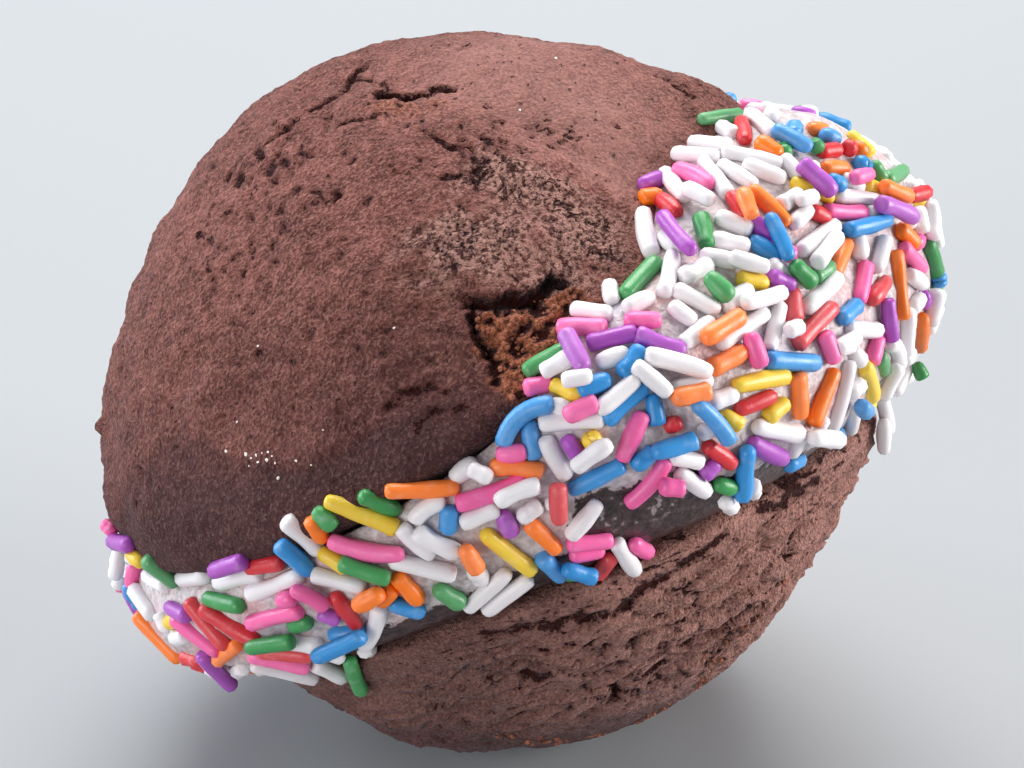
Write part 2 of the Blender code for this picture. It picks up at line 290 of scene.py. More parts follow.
# Places on the skin are unrolled round the dome's top. Cracks: width, depth, the line's places
TOP_CRACKS = (
    (0.25, 0.7, (-0.6, -9.6), (0.6, -9.2), (2.6, -8.9)),
    (0.15, 0.6, (2.6, -8.9), (4.4, -7.9), (6.8, -7.1)),
    (0.12, 0.5, (7.2, -7.0), (9.5, -5.7)),
    (0.3, 0.8, (9.2, -5.0), (9.6, -3.1), (10.4, -1.2)),
    (0.12, 0.6, (9.6, -3.6), (10.6, -3.4), (12.4, -5.4), (12.8, -6.9)),
    (0.8, 1.9, (12.1, -8.0), (14.2, -8.1), (16.2, -8.1)),
    (0.12, 0.5, (15.6, -8.2), (16.5, -7.2)),
    (0.35, 0.9, (16.5, -7.1), (17.8, -7.7)),
    (0.2, 0.7, (7.5, -11.1), (9.5, -11.3), (11.3, -11.0)),
    (0.1, 0.35, (2.1, -16.0), (3.6, -17.2), (3.8, -18.5)),
    (0.2, 0.6, (14.6, -15.0), (15.7, -16.5), (17.1, -16.7)),
    (0.15, 0.5, (17.1, -16.8), (17.1, -18.8), (16.0, -20.2)),
    (0.12, 0.5, (18.4, -15.4), (19.2, -16.6), (19.0, -17.8)),
    (0.12, 0.4, (13.0, -20.0), (15.5, -19.4)),
    (0.55, 2.6, (11.6, -30.2), (13.5, -30.6), (15.5, -30.4), (18.1, -30.2), (20.0, -29.4)),
    (0.35, 1.4, (11.2, -31.0), (10.7, -33.0), (11.2, -35.6)),
    (0.12, 0.45, (23.4, -26.9), (25.0, -26.7), (26.9, -27.5)),
    (0.12, 0.35, (22.4, -27.8), (24.6, -28.6)),
    (0.2, 0.6, (31.9, -0.8), (33.3, -1.8), (34.9, -2.5)),
    (0.1, 0.3, (1.8, -35.0), (3.6, -34.4), (5.3, -34.9), (7.0, -36.0)),
    (0.1, 0.3, (3.4, -37.0), (5.0, -36.2), (7.6, -37.2)),
)
# Pits: east, north, radius, depth
TOP_PITS = (
    (-4.0, -9.8, 0.5, 0.5),
    (-2.9, -11.3, 0.6, 0.5),
    (0.4, -12.6, 0.5, 0.4),
    (1.5, -12.8, 0.5, 0.4),
    (-0.4, -10.6, 0.3, 0.4),
    (5.0, -18.3, 0.4, 0.5),
)
TOP_PIT_CLUSTERS = (
    (-2, -15, 3.5), (-4, -19, 3), (3, -13, 3), (17, -19, 3), (10, -24, 4), (24, -13, 1.6),
)
PIT_COUNT = 560
GRAIN_HEIGHT = 0.17
# The smooth patch at the top right: smoother skin, and painted lighter as a highlight where it
# faces the lamps
SMOOTH_LINE = ((21, -4), (28, -9), (30, -16), (27, -22))
SMOOTH_REACH = 8.5
SMOOTHED = 0.12
SCUFF_LINE = ((17.5, -20), (22.5, -21.5), (25, -24.5), (19, -27), (12.5, -25.5))
SCUFF_REACH = 6.3
SCUFF_FADE = 5.5
CRUMB_LINE = ((13.0, -33.2), (16.5, -33.4), (20.4, -32.4), (17.0, -35.6), (13.0, -36.2))
CRUMB_REACH = 2.5
CRUMB_FADE = 0.4
GRAINY_LINE = ((11.6, -10.3), (16.0, -10.6))
GRAINY_REACH = 1.7
# The moist band's edge: how far from the dome's top it lies in each direction
TIDE_TURNS = (-160, -137, -125, -117, -111, -105, -99, -92, -84, -78, -60)
TIDE_REACHES = (40, 31.5, 29.8, 30.0, 32.7, 34.4, 35.4, 35.2, 35.3, 36.2, 42)
TIDE_STEP = 0.16
# Painted shade low on the upper cake's front: how far from the dome's top it begins, and over how
# far it deepens
FRONT_SHADE_START = 23
FRONT_SHADE_FADE = 12


def top_detail(points, skin, fade):
    """The upper cake's cracks, pits, scuffed patch and open crumb, with painted shade in its
    hollows, and painted shade and a damp band low on its front.
    """
    bent = wandered(skin, points)
    crack, crack_field = crack_relief(bent, points, TOP_CRACKS)
    draw = random.Random(5)
    pits = scatter_pits(top, draw, PIT_COUNT, TOP_PIT_CLUSTERS, (0.1, 0.26), (0.08, 0.34))
    pit, pit_field = pit_relief(bent, [*TOP_PITS, *pits])
    grain = noise_at(points, 0.9, 4, seed=1)
    drift = 2.6 * noise_at(points, 3.0, 3, seed=2)
    smooth = bell(line_distance(skin, SMOOTH_LINE) + 0.4 * drift, SMOOTH_REACH)
    scuff = np.clip((SCUFF_REACH - line_distance(skin, SCUFF_LINE) - drift) / SCUFF_FADE, 0, 1)
    flakes = np.abs(noise_at(points, 0.65, 3, seed=4))
    crumb_edge = line_distance(skin, CRUMB_LINE) + 0.8 * noise_at(points, 1.3, 2, seed=6)
    open_crumb = np.clip((CRUMB_REACH - crumb_edge) / CRUMB_FADE, 0, 1)
    lumps = noise_at(points, 0.9, 3, seed=7)
    grainy = 0.5 * bell(line_distance(skin, GRAINY_LINE), GRAINY_REACH)
    height = (GRAIN_HEIGHT - SMOOTHED * smooth) * grain * (0.4 + 0.6 * fade) - fade * (crack + pit)
    height += scuff * fade * (0.42 * flakes - 0.3)
    height += open_crumb * fade * (lumps - 0.5)
    height += 0.5 * grainy * lumps

    patches = np.clip(0.75 + 1.2 * noise_at(points, 2.2, 2, seed=8), 0, 1)
    peeled = scuff * patches * np.clip(0.98 - 3.2 * flakes, 0, 1)
    crumb_hole_shade = open_crumb * np.clip(0.32 - 1.6 * lumps, 0, 1)
    away = np.hypot(skin[:, 0], skin[:, 1])
    front = np.clip(-1.6 * skin[:, 1] / np.maximum(away, 1) - 0.35 - skin[:, 0] / 22, 0, 1)
    direction = np.degrees(np.arctan2(skin[:, 1], skin[:, 0]))
    tide = away - np.interp(direction, TIDE_TURNS, TIDE_REACHES)
    wet = np.clip(tide + 0.7 * noise_at(points, 1.6, 2, seed=10), 0, 1)
    height -= TIDE_STEP * wet * fade
    # Painted shade: the front grows darker towards the rim, and darker still in the damp band below
    # the tide line
    moist = away - FRONT_SHADE_START + 2.5 * noise_at(points, 5, 2, seed=9)
    moist = 0.62 * np.clip(moist / FRONT_SHADE_FADE, 0, 1) * (1 - 0.8 * scuff)
    marks = {
        # Painted shade in the cracks, the pits, the crumb holes and the pits of the peeled patch
        "hollow": np.maximum.reduce([crack_field, pit_field, crumb_hole_shade, peeled]),
        "torn": np.maximum(open_crumb, grainy * np.clip(0.7 + lumps, 0, 1)),
        "scuff": np.maximum(scuff, 0.4 - 0.4 * smooth),
        "moist": front * (moist + 0.38 * wet) * (1 - open_crumb),
    }
    return height, marks


top = Cake(
    side=1,
    centre=(-8.6, -1.5, 41.5),
    leans=(33.1, 5.5),
    radius=31.4,
    height=21.2,
    tuck=3.4,
    oval=0.032,
    oval_turn=66,
    skew=(-2.7, 8.0),
    rim=((-28, -3.2, 22), (2, 1.6, 12), (50, -1.8, 20)),
    lumps=((-26, -1, -1.7, 6), (30, 9, -1.8, 9), (-26.4, -12.6, 0.9, 0.9)),
)
upper_cake = cake_piece("upper_cake", top, top_detail)


def add_node(tree, kind, settings=None, **inputs):
    """A shader node with its settings, and inputs that are values or other nodes' outputs."""
    node = tree.nodes.new("ShaderNode" + kind)
    for name, value in (settings or {}).items():
        setattr(node, name, value)
    for name, value in inputs.items():
        index = int(name[1:]) if name[1:].isdigit() else name
        socket = node.inputs[index]
        if isinstance(value, bpy.types.NodeSocket):
            tree.links.new(value, socket)
        else:
            socket.default_value = value
    return node


def clouds(place, scale, detail=2, roughness=0.5):
    """Soft noise between 0 and 1."""
    sizes = {"Scale": scale, "Detail": detail, "Roughness": roughness}
    return add_node(place.id_data, "TexNoise", Vector=place, **sizes).outputs[0]


def ramp(value, low, high, start=0, end=1):
    """A value carried from one range to another, and held at its ends."""
    ends = {"i1": low, "i2": high, "i3": start, "i4": end}
    return add_node(value.id_data, "MapRange", i0=value, **ends).outputs[0]


def blend(share, first, second, mode="MIX"):
    """Two colours mixed by a share; the share or the first colour is another node's output."""
    tree = (first if isinstance(share, float) else share).id_data
    settings = {"data_type": "RGBA", "blend_type": mode}
    return add_node(tree, "Mix", settings, i0=share, i6=first, i7=second).outputs[2]


def reckon(operation, first, second):
    """One sum on two values."""
    settings = {"operation": operation}
    return add_node(first.id_data, "Math", settings, i0=first, i1=second).outputs[0]


def plus(first, second):
    """Two values added up."""
    return reckon("ADD", first, second)


def times(first, second):
    """Two values multiplied."""
    return reckon("MULTIPLY", first, second)


def new_group(name, **inputs):
    """An empty shader node group that puts out a colour, a height and a roughness."""
    group = bpy.data.node_groups.new(name, "ShaderNodeTree")
    outputs = {"Colour": "Color", "Height": "Float", "Roughness": "Float"}
    for sockets, way in ((inputs, "INPUT"), (outputs, "OUTPUT")):
        for socket, kind in sockets.items():
            group.interface.new_socket(socket, in_out=way, socket_type="NodeSocket" + kind)
    return group, group.nodes.new("NodeGroupInput").outputs


def put_out(group, *values):
    """Joins a group's colour, height and roughness to its outputs."""
    result = group.nodes.new("NodeGroupOutput")
    for value, socket in zip(values, result.inputs):
        group.links.new(value, socket)
    return group


# Lighter skin on the smooth patch, partly a painted highlight
SMOOTH_SKIN_HIGHLIGHT = (0.55, 0.33, 0.29, 1)
PEELED_DARK = (0.06, 0.014, 0.0105, 1)
PEELED_PALE = (0.59, 0.31, 0.25, 1)
# Painted shade, with damp skin, low on the cakes
DAMP_AND_SHADE_BROWN = (0.048, 0.022, 0.0235, 1)
FLECK_BROWN = (0.58, 0.32, 0.26, 1)
# Painted shade in hollows, pores and cracks
HOLLOW_SHADE_BROWN = (0.085, 0.022, 0.016, 1)
PORE_SHADE_BROWN = (0.06, 0.015, 0.011, 1)
CRACK_SHADE_BLACK = (0.028, 0.006, 0.0045, 1)


def crust_group():
    """Baked chocolate skin: mottled brown with flecks and open crumb, painted shade in pores,
    cracks and hollows, painted shade and damp skin low down, and a painted highlight where it is
    smooth.
    """
    marks = {mark: "Float" for mark in ("Hollow", "Torn", "Scuff", "Moist")}
    colours = {colour: "Color" for colour in ("Deep", "Pale", "Crumb")}
    group, given = new_group("crust", Place="Vector", Lay="Vector", **colours, **marks)
    place, scuff, moist = given["Place"], given["Scuff"], given["Moist"]
    grain = clouds(place, 3.6, 2, 0.6)
    tears = clouds(place, 2.2, 3, 0.65)
    mottle = clouds(given["Lay"], 0.7, 4, 0.7)
    broad = clouds(place, 0.12)

    sway = grain.node.outputs["Color"]
    sway = add_node(group, "VectorMath", {"operation": "SCALE"}, i0=sway, Scale=0.5).outputs[0]
    swayed = add_node(group, "VectorMath", {"operation": "ADD"}, i0=place, i1=sway).outputs[0]
    cell = add_node(group, "TexVoronoi", Vector=swayed, Scale=1.5)
    pick = add_node(group, "SeparateColor", Color=cell.outputs["Color"]).outputs[0]
    width = times(ramp(pick, 0.3, 1, 0, 0.3), ramp(scuff, 0.4, 1, 0.7, 0.8))
    pore = reckon("SUBTRACT", cell.outputs["Distance"], width)
    pore = times(ramp(pore, 0.05, -0.03), ramp(pick, 0.3, 0.36))
    # The painted shade in the hollows, made ragged by the grain
    edge = plus(given["Hollow"], ramp(grain, 0.3, 0.7, -0.22, 0.22))
    black = ramp(edge, 0.6, 0.7)

    fine_tone = ramp(grain, 0.4, 0.6, 0, 0.45)
    tone = plus(fine_tone, ramp(mottle, 0.38, 0.62, 0, 0.38))
    tone = plus(tone, ramp(broad, 0.4, 0.6, 0, 0.17))
    smooth_highlight = blend(0.6, given["Pale"], SMOOTH_SKIN_HIGHLIGHT)
    peeled = blend(ramp(tears, 0.42, 0.53), PEELED_DARK, PEELED_PALE)
    fleck = times(ramp(grain, 0.54, 0.66), ramp(scuff, 0.3, 1, 0.08, 0.3))
    deep_crumb = blend(0.75, given["Crumb"], given["Deep"])
    crumb = blend(ramp(grain, 0.38, 0.6), deep_crumb, given["Crumb"])
    colour = blend(tone, given["Deep"], given["Pale"])
    for share, laid_over in (
        # the smooth patch, lighter as a painted highlight
        (ramp(scuff, 0.4, 0, 0, 0.34), smooth_highlight),
        (ramp(scuff, 0.4, 0.9, 0, 0.85), peeled),
        # painted shade, with damp skin, low on the cakes
        (times(moist, 0.85), DAMP_AND_SHADE_BROWN),
        (fleck, FLECK_BROWN),
        (given["Torn"], crumb),
        # painted shade in hollows, pores and cracks
        (ramp(edge, 0.4, 0.62, 0, 0.6), HOLLOW_SHADE_BROWN),
        (times(pore, 0.85), PORE_SHADE_BROWN),
        (times(black, 0.96), CRACK_SHADE_BLACK),
    ):
        colour = blend(share, colour, laid_over)

    height = times(grain, ramp(scuff, 0, 1, 0.16, 1.1))
    height = times(height, ramp(moist, 0, 1, 1, 0.45))
    torn_up = times(ramp(tears, 0.4, 0.6), ramp(scuff, 0.4, 1, 0, 0.25))
    for part in (times(mottle, 0.5), torn_up, times(pore, -0.3), times(black, -0.35)):
        height = plus(height, part)
    rough = ramp(grain, 0.35, 0.7, 0.8, 0.65)
    rough = reckon("MAXIMUM", rough, ramp(edge, 0.4, 0.6))
    return put_out(group, colour, height, rough)


crust = crust_group()


def new_material(name, stretch=(1000, 1000, 1000)):
    """An empty material, its nodes, and the place on the object in mm."""
    material = bpy.data.materials.new(name)
    material.use_nodes = True
    tree = material.node_tree
    place = add_node(tree, "TexCoord").outputs["Object"]
    return material, tree, add_node(tree, "Mapping", Vector=place, Scale=stretch).outputs[0]


def mark_of(tree, mark, kind="Fac"):
    """What a piece's vertices keep under this name."""
    return add_node(tree, "Attribute", {"attribute_name": mark}).outputs[kind]


def dress(tree, colour, height, roughness, strength, distance):
    """Gives a material's shader its colour, its roughness and its bumps, these in metres."""
    shader = tree.nodes["Principled BSDF"]
    bump = add_node(tree, "Bump", Strength=strength, Distance=distance, Height=height).outputs[0]
    for value, socket in ((colour, "Base Color"), (roughness, "Roughness"), (bump, "Normal")):
        tree.links.new(value, shader.inputs[socket])
    return shader.inputs


def cake_material(name, deep, pale, crumb, lay=None):
    """A cake's skin, from the crust and the mesh's marks; lay is one that draws mottles out."""
    material, tree, place = new_material(name, (1000, 750, 1000))
    marks = {mark: mark_of(tree, mark.lower()) for mark in ("Hollow", "Torn", "Scuff", "Moist")}
    marks["Lay"] = mark_of(tree, lay, "Vector") if lay else place
    colours = {"Deep": deep, "Pale": pale, "Crumb": crumb}
    skin = add_node(tree, "Group", {"node_tree": crust}, Place=place, **colours, **marks)
    sockets = dress(tree, *skin.outputs, strength=1.0, distance=0.0011)
    sockets["Specular IOR Level"].default_value = 0.1
    sockets["Sheen Weight"].default_value = 0.09
    sockets["Sheen Roughness"].default_value = 0.22
    sockets["Sheen Tint"].default_value = (0.82, 0.86, 1.0, 1)
    return material


TOP_DEEP = (0.068, 0.019, 0.014, 1)
TOP_PALE = (0.315, 0.118, 0.094, 1)
CRUMB_COLOUR = (0.42, 0.14, 0.07, 1)
upper_cake.data.materials.append(cake_material("upper_crust", TOP_DEEP, TOP_PALE, CRUMB_COLOUR))
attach(upper_cake, "root")
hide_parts("top_cake")


# The lower cake. The same soft chocolate cake upside down, a little smaller, settled flat where it
# rests on its dome. Its skin is drawn into long folds beside the rim, with crumbly breaks low at
# the front. Its underside, now on top, is stuck to the cream.
BOTTOM_CRACKS = (
    (0.3, 0.8, (2.6, -31.8), (6.0, -32.6), (9.0, -31.8), (13.2, -31.0), (15.6, -30.1)),
    (0.25, 0.6, (-9.7, -33.2), (-4.4, -33.0), (2.4, -31.9)),
    (0.35, 0.9, (7.7, -22.7), (10.1, -21.5), (11.7, -21.4)),
    (0.35, 0.9, (19.7, -28.2), (23.5, -25.0), (26.8, -21.0)),
    (0.4, 1.3, (0.1, -23.5), (0.4, -22.0), (0.0, -20.8)),
    (0.25, 0.8, (-6.6, -27.6), (-4.7, -27.4)),
    (0.5, 0.9, (2.6, -22.2), (4.8, -22.0)),
)
BOTTOM_PIT_CLUSTERS = ((4, -24, 4), (10, -20, 4))
BOTTOM_PIT_COUNT = 320
CRUMBLE_LINE = (
    (-9.9, -19.1), (-5.5, -9.1), (0.7, -9.3), (6.5, -10.9), (9.1, -18.0), (14.5, -18.3),
    (17.0, -17.8),
)
CRUMBLE_REACH = 1.5
FOLDS_START = 14
FOLDS_FADE = 8
FOLD_ROUND = 5
FOLD_LEVEL = -0.15
MOTTLE_ROUND = 9
MOTTLE_RUN = 26
MOTTLE_CENTRE = 10
# How high above the floor, in mm, the painted shade low on the lower cake reaches
LOW_SHADE_TOP = 20


def bottom_detail(points, skin, fade):
    """The lower cake's folds, cracks, pits and crumbly breaks, with painted shade in its hollows,
    on its left side and low down.
    """
    bent = wandered(skin, points)
    crack, crack_field = crack_relief(bent, points, BOTTOM_CRACKS)
    draw = random.Random(9)
    pits = scatter_pits(
        bottom, draw, BOTTOM_PIT_COUNT, BOTTOM_PIT_CLUSTERS, (0.1, 0.35), (0.05, 0.35)
    )
    pit, pit_field = pit_relief(bent, pits)
    grain = noise_at(points, 0.9, 3, seed=11)
    angle = np.arctan2(skin[:, 1], skin[:, 0])
    away = np.hypot(skin[:, 0], skin[:, 1])
    swayed = away + 2.0 * noise_at(points, 7, 2, seed=12)
    along = np.stack([FOLD_ROUND * np.cos(angle), FOLD_ROUND * np.sin(angle), swayed], 1)
    folds = noise_at(along, 1, 4)
    folded = np.clip((away - FOLDS_START) / FOLDS_FADE, 0, 1)
    folded *= np.clip(0.55 + 0.6 * np.cos(angle + 0.9), 0.25, 1)
    crumble = CRUMBLE_REACH - line_distance(skin, CRUMBLE_LINE)
    crumble = np.clip((crumble + 0.8 * noise_at(points, 1.5, 2, seed=13)) / 0.8, 0, 1)
    lumps = noise_at(points, 0.8, 3, seed=14)
    creases = 0.6 * folds - 0.45 * bell(folds - FOLD_LEVEL, 0.08)
    height = 0.14 * grain - fade * (crack + pit) + fade * folded * creases
    height += fade * crumble * (0.4 * lumps - 0.2)

    streak = 0.7 + 0.4 * noise_at(points, 2.5, 2, seed=15)
    # Painted shade in the fold creases and in the holes of the crumbly breaks
    fold_shade = folded * streak * bell(folds - FOLD_LEVEL, 0.12)
    crumble_shade = crumble * np.clip(0.3 - 1.7 * lumps, 0, 0.95)
    # Painted shade: darker towards the left side, which faces away from the lamps, and low down by
    # the floor
    moist = 0.6 * np.clip(0.62 - skin[:, 0] / 26, 0, 1)
    low = np.clip((LOW_SHADE_TOP - points[:, 2]) / 10, 0, 1)
    moist += 0.5 * low * np.clip(1 - skin[:, 0] / 14, 0, 1)
    marks = {
        "hollow": np.maximum.reduce([crack_field, pit_field, fold_shade, crumble_shade]),
        "torn": 0.35 * crumble * np.clip(2 * lumps, 0, 1),
        "scuff": 0.28 + 0.3 * crumble,
        "moist": np.minimum(moist, 0.95),
    }
    return height, marks


def drawn_out(cake, points):
    """Places for the mottles, which run on over the rim, so that they lie along the folds."""
    points = points - cake.centre
    rise = points @ cake.axis * cake.side
    east, north = points @ cake.across, points @ cake.away
    out = np.maximum(np.hypot(east, north), 0.1)
    over = MOTTLE_RUN * np.arctan2(out, rise - MOTTLE_CENTRE)
    places = np.stack([MOTTLE_ROUND * east / out, MOTTLE_ROUND * north / out, over], 1)
    return places + 0.5 * np.stack([noise_at(points, 5, 2, seed=16 + axis) for axis in range(3)], 1)


bottom = Cake(
    side=-1,
    centre=(4.0, -6.5, 22.4),
    leans=(23.5, 22.3),
    radius=27.5,
    height=19.8,
    tuck=1.9,
    oval=0.032,
    oval_turn=38,
    skew=(-1.4, 8.0),
    rim=((-3, 1.0, 14),),
    lumps=((24, -8, -1.8, 8), (-25, -8, -1.5, 7)),
)
lower_cake = cake_piece("lower_cake", bottom, bottom_detail)
lay = drawn_out(bottom, np.array([vert.co for vert in lower_cake.data.vertices]) / MM)
lay_mark = lower_cake.data.attributes.new("drawn_out", "FLOAT_VECTOR", "POINT")
lay_mark.data.foreach_set("vector", lay.ravel())
BOTTOM_DEEP = (0.085, 0.031, 0.024, 1)
BOTTOM_PALE = (0.45, 0.22, 0.178, 1)
lower_cake.data.materials.append(
    cake_material("lower_crust", BOTTOM_DEEP, BOTTOM_PALE, CRUMB_COLOUR, "drawn_out")
)
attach(lower_cake, "root")
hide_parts("bottom_cake")


# The cream. A thick layer of whipped cream between the cakes, bulging out round the edge, most at
# the right. It is piped or spread on one cake and pressed under the other. The sprinkles' dyes have
# begun to tint it, and chocolate is smeared on it in front. Its colour is painted darker than
# whipped cream, as painted shade between the sprinkles.
GAP = 0.35
FILLING_REACH = 0.955
BULGE_SHARE = 0.45
BULGE_START = 2.5
BULGE_SWELLS = ((-178, 2.4, 32), (-90, -2.0, 30), (52, -4.2, 27), (5, 0.6, 20))
CREAM_INSET = 0.9
CLIMB = ((-60, 3.2, 13), (-20, 5.0, 24))
TUCK_LENGTH = 2.45
CREAM_SINK = 0.4
SMEAR_LINE = ((5.8, -32.4, 41.0), (12.0, -30.8, 42.0))
SMEAR_REACHES = (1.5, 3.2)
# The smear along the lower edge, its dark brown partly painted shade under the sprinkles: at which
# share of the edge's width it starts in each direction
SMEAR_TURNS = (-145, -125, -65, -45, 0)
SMEAR_STARTS = (1.1, 0.6, 0.6, 0.76, 1.1)
SMEAR_EDGE = 0.06
EDGE_TURN = math.acos((FILLING_REACH - TUCK_START) / (1 - TUCK_START)) * 2 / math.pi
CREAM_SEGMENTS = 240
CREAM_FACE_RINGS = 6
CREAM_BAND_RINGS = 36
CREAM_RINGS = 2 * CREAM_FACE_RINGS + CREAM_BAND_RINGS


def band_edges(angle):
    """The open edge's two sides; the upper one goes over its cake's rim where cream climbs."""
    climb = swell_at(angle, CLIMB)
    turn = EDGE_TURN * np.clip(1 - climb / TUCK_LENGTH, 0, 1)
    dome_turn = 1 - np.maximum(0, climb - TUCK_LENGTH) / (SKIN_REACH * top.radius)
    over = (climb > TUCK_LENGTH)[:, None]
    upper = np.where(over, top.smooth_dome(angle, dome_turn), top.tucked(angle, turn, GAP))
    upper -= top.outward(upper) * (CREAM_SINK * np.clip(climb, 0, 1))[:, None]
    return upper, bottom.tucked(angle, EDGE_TURN + 0 * angle, GAP)


def band_thickness(angle):
    """The width of the open edge from cake to cake."""
    upper, lower = band_edges(angle)
    return np.linalg.norm(upper - lower, axis=1)


def band(angle, share):
    """Points of the open edge: share is 0 at the upper cake and 1 at the lower one."""
    upper, lower = band_edges(angle)
    down = lower - upper
    thickness = np.linalg.norm(down, axis=1)
    down /= thickness[:, None]
    out = (upper + lower) / 2 - (top.centre + bottom.centre) / 2
    out = unit(out - down * (out * down).sum(1)[:, None])
    bulge = BULGE_SHARE * (thickness - BULGE_START) + swell_at(angle, BULGE_SWELLS) - CREAM_INSET
    arc = math.pi * share
    across = (lower - upper) * ((1 - np.cos(arc)) / 2)[:, None]
    return upper + across + out * (bulge * np.sin(arc))[:, None]


mesh = bmesh.new()
bmesh.ops.create_uvsphere(mesh, u_segments=CREAM_SEGMENTS, v_segments=CREAM_RINGS, radius=1)
ball = np.array([vert.co for vert in mesh.verts])
ball_angle = np.arctan2(ball[:, 1], ball[:, 0])
ring = np.rint(np.arccos(np.clip(ball[:, 2], -1, 1)) / math.pi * CREAM_RINGS)
inward = np.minimum(ring, CREAM_RINGS - ring) / CREAM_FACE_RINGS
on_band = inward >= 1
cream_points = np.empty_like(ball)
for cake, on_side in ((top, ring < CREAM_RINGS / 2), (bottom, ring >= CREAM_RINGS / 2)):
    middle = on_side & (inward <= 0.5)
    rim = on_side & (inward > 0.5) & (inward < 1)
    cream_points[middle] = cake.flat(ball_angle[middle], 2 * inward[middle], GAP)
    rim_turn = 1 - (1 - EDGE_TURN) * (2 * inward[rim] - 1)
    cream_points[rim] = cake.tucked(ball_angle[rim], rim_turn, GAP)
band_share = (ring[on_band] - CREAM_FACE_RINGS) / CREAM_BAND_RINGS
edge = band(ball_angle[on_band], band_share)
waves = 0.5 * noise_at(edge, 5, 2, seed=21) + 0.12 * noise_at(edge, 1.2, 2, seed=22)
waves = (waves * np.sin(math.pi * band_share))[:, None]
cream_points[on_band] = edge + unit(edge - (top.centre + bottom.centre) / 2) * waves
for vert, point in zip(mesh.verts, cream_points * MM):
    vert.co = point
bmesh.ops.recalc_face_normals(mesh, faces=mesh.faces)
cream = add_piece("cream", mesh)
cream.data.shade_smooth()
smear = np.interp(line_distance(cream_points, SMEAR_LINE), SMEAR_REACHES, (1, 0))
edge_start = np.interp(np.degrees(ball_angle[on_band]), SMEAR_TURNS, SMEAR_STARTS)
edge_smear = 0.75 * np.clip((band_share - edge_start) / SMEAR_EDGE, 0, 1)
smear[on_band] = np.maximum(smear[on_band], edge_smear)
add_mark(cream, "smear", smear)

material, tree, place = new_material("whipped_cream")
warm_dye = clouds(place, 0.28, 3)
cool_dye = clouds(place, 0.23, 3)
cool_dye.node.inputs["Distortion"].default_value = 0.4
curd = clouds(place, 1.6, 3)
# Painted shade: the cream is painted darker than whipped cream, most where the curd noise is low,
# for the shade between the sprinkles piled on it
colour = blend(ramp(curd, 0.35, 0.65), (0.42, 0.35, 0.35, 1), (0.66, 0.6, 0.61, 1))
colour = blend(ramp(warm_dye, 0.52, 0.66, 0, 0.55), colour, (0.7, 0.36, 0.36, 1))
colour = blend(ramp(cool_dye, 0.56, 0.7, 0, 0.4), colour, (0.5, 0.46, 0.62, 1))
laid_on = mark_of(tree, "smear")
smeared = plus(laid_on, ramp(curd, 0.3, 0.7, -0.25, 0.25))
smeared = ramp(smeared, 0.35, 0.5)
blot = clouds(place, 1.3, 4)
dark_blot = ramp(blot, 0.35, 0.65)
chocolate = blend(dark_blot, (0.018, 0.009, 0.0095, 1), (0.075, 0.04, 0.04, 1))
pale_blot = times(ramp(blot, 0.57, 0.63, 0, 0.7), ramp(laid_on, 0.76, 0.95))
chocolate = blend(pale_blot, chocolate, (0.34, 0.28, 0.3, 1))
colour = blend(smeared, colour, chocolate)
dress(tree, colour, curd, ramp(smeared, 0, 1, 0.42, 0.3), strength=0.5, distance=0.0006)
cream.data.materials.append(material)
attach(cream, "root")
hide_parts("filling")


# The sprinkles. Short rods of coloured sugar, most of them white, pressed into the cream round the
# whole edge. They lie every way, two and three deep, and at the right some ride up over the upper
# cake's rim.
SPRINKLE_ATTEMPTS = 1150
SPRINKLE_RADIUS = 0.7
SPRINKLE_LENGTHS = (2.7, 5.0)
BROKEN_LENGTHS = (1.7, 2.7)
BROKEN_SHARE = 0.14
SPRINKLE_SIDES = 8
SPRINKLE_RINGS = 12
# A rod's blunt end: how far in each ring lies and how wide it is, as shares of the radius
END_RINGS = ((0.0, 0.0), (0.12, 0.6), (0.45, 0.9), (1.1, 1.0))
END_BLUNTNESS = (0.45, 1.2)
THICKNESSES = (0.92, 1.08)
TAPERS = (-0.09, 0.09)
FLATNESSES = (0.88, 1.06)
WAVES = (0, 0.07)
STRAIGHT = 0.01
SLIGHT_BEND = 0.14
SLIGHT_SHARE = 0.84
STRONG_BENDS = (0.5, 1.8)
TILT = 0.12
LIFTS = np.arange(0.1, 1.8, 0.2)
EDGE_LIFT = 0.3
LOWEST_SHARE = 0.9
TRIES = 26
NEAR_REACH = 7
ROOM = 1.86
# Each colour, and how many rods in about a hundred have it
COLOURS = {
    "white": ((0.84, 0.805, 0.82), 47),
    "pink": ((0.9, 0.13, 0.38), 11),
    "blue": ((0.03, 0.27, 0.64), 12),
    "orange": ((0.98, 0.2, 0.008), 9),
    "green": ((0.045, 0.3, 0.08), 7),
    "purple": ((0.4, 0.075, 0.47), 7),
    "yellow": ((0.88, 0.6, 0.045), 5),
    "red": ((0.66, 0.03, 0.04), 5),
}


def lay_of(angle, share):
    """Where and how a rod can lie: point, way out, way round the pie."""
    step = 0.012
    share = np.clip(share, 2 * step, 1 - 2 * step)
    round_way = band(angle + step, share) - band(angle - step, share)
    down_way = band(angle, share + step) - band(angle, share - step)
    return band(angle, share), unit(np.cross(down_way, round_way)), unit(round_way)


def rod_spine(length, bend, share):
    """A rod's bent middle line in its own plane: along, sideways and heading at each share."""
    bend = np.where(np.abs(bend) < STRAIGHT, STRAIGHT, bend)
    heading = (share - 0.5) * bend
    return length / bend * np.sin(heading), length / bend * (1 - np.cos(heading)), heading


def rod_marks(middle, along, side, length, bend):
    """Five centres along a rod, for keeping rods apart."""
    inner = max(length - 2 * SPRINKLE_RADIUS, 0.5)
    reach, drift, heading = rod_spine(inner, bend, np.linspace(0, 1, 5))
    return middle + np.outer(reach, along) + np.outer(drift, side)


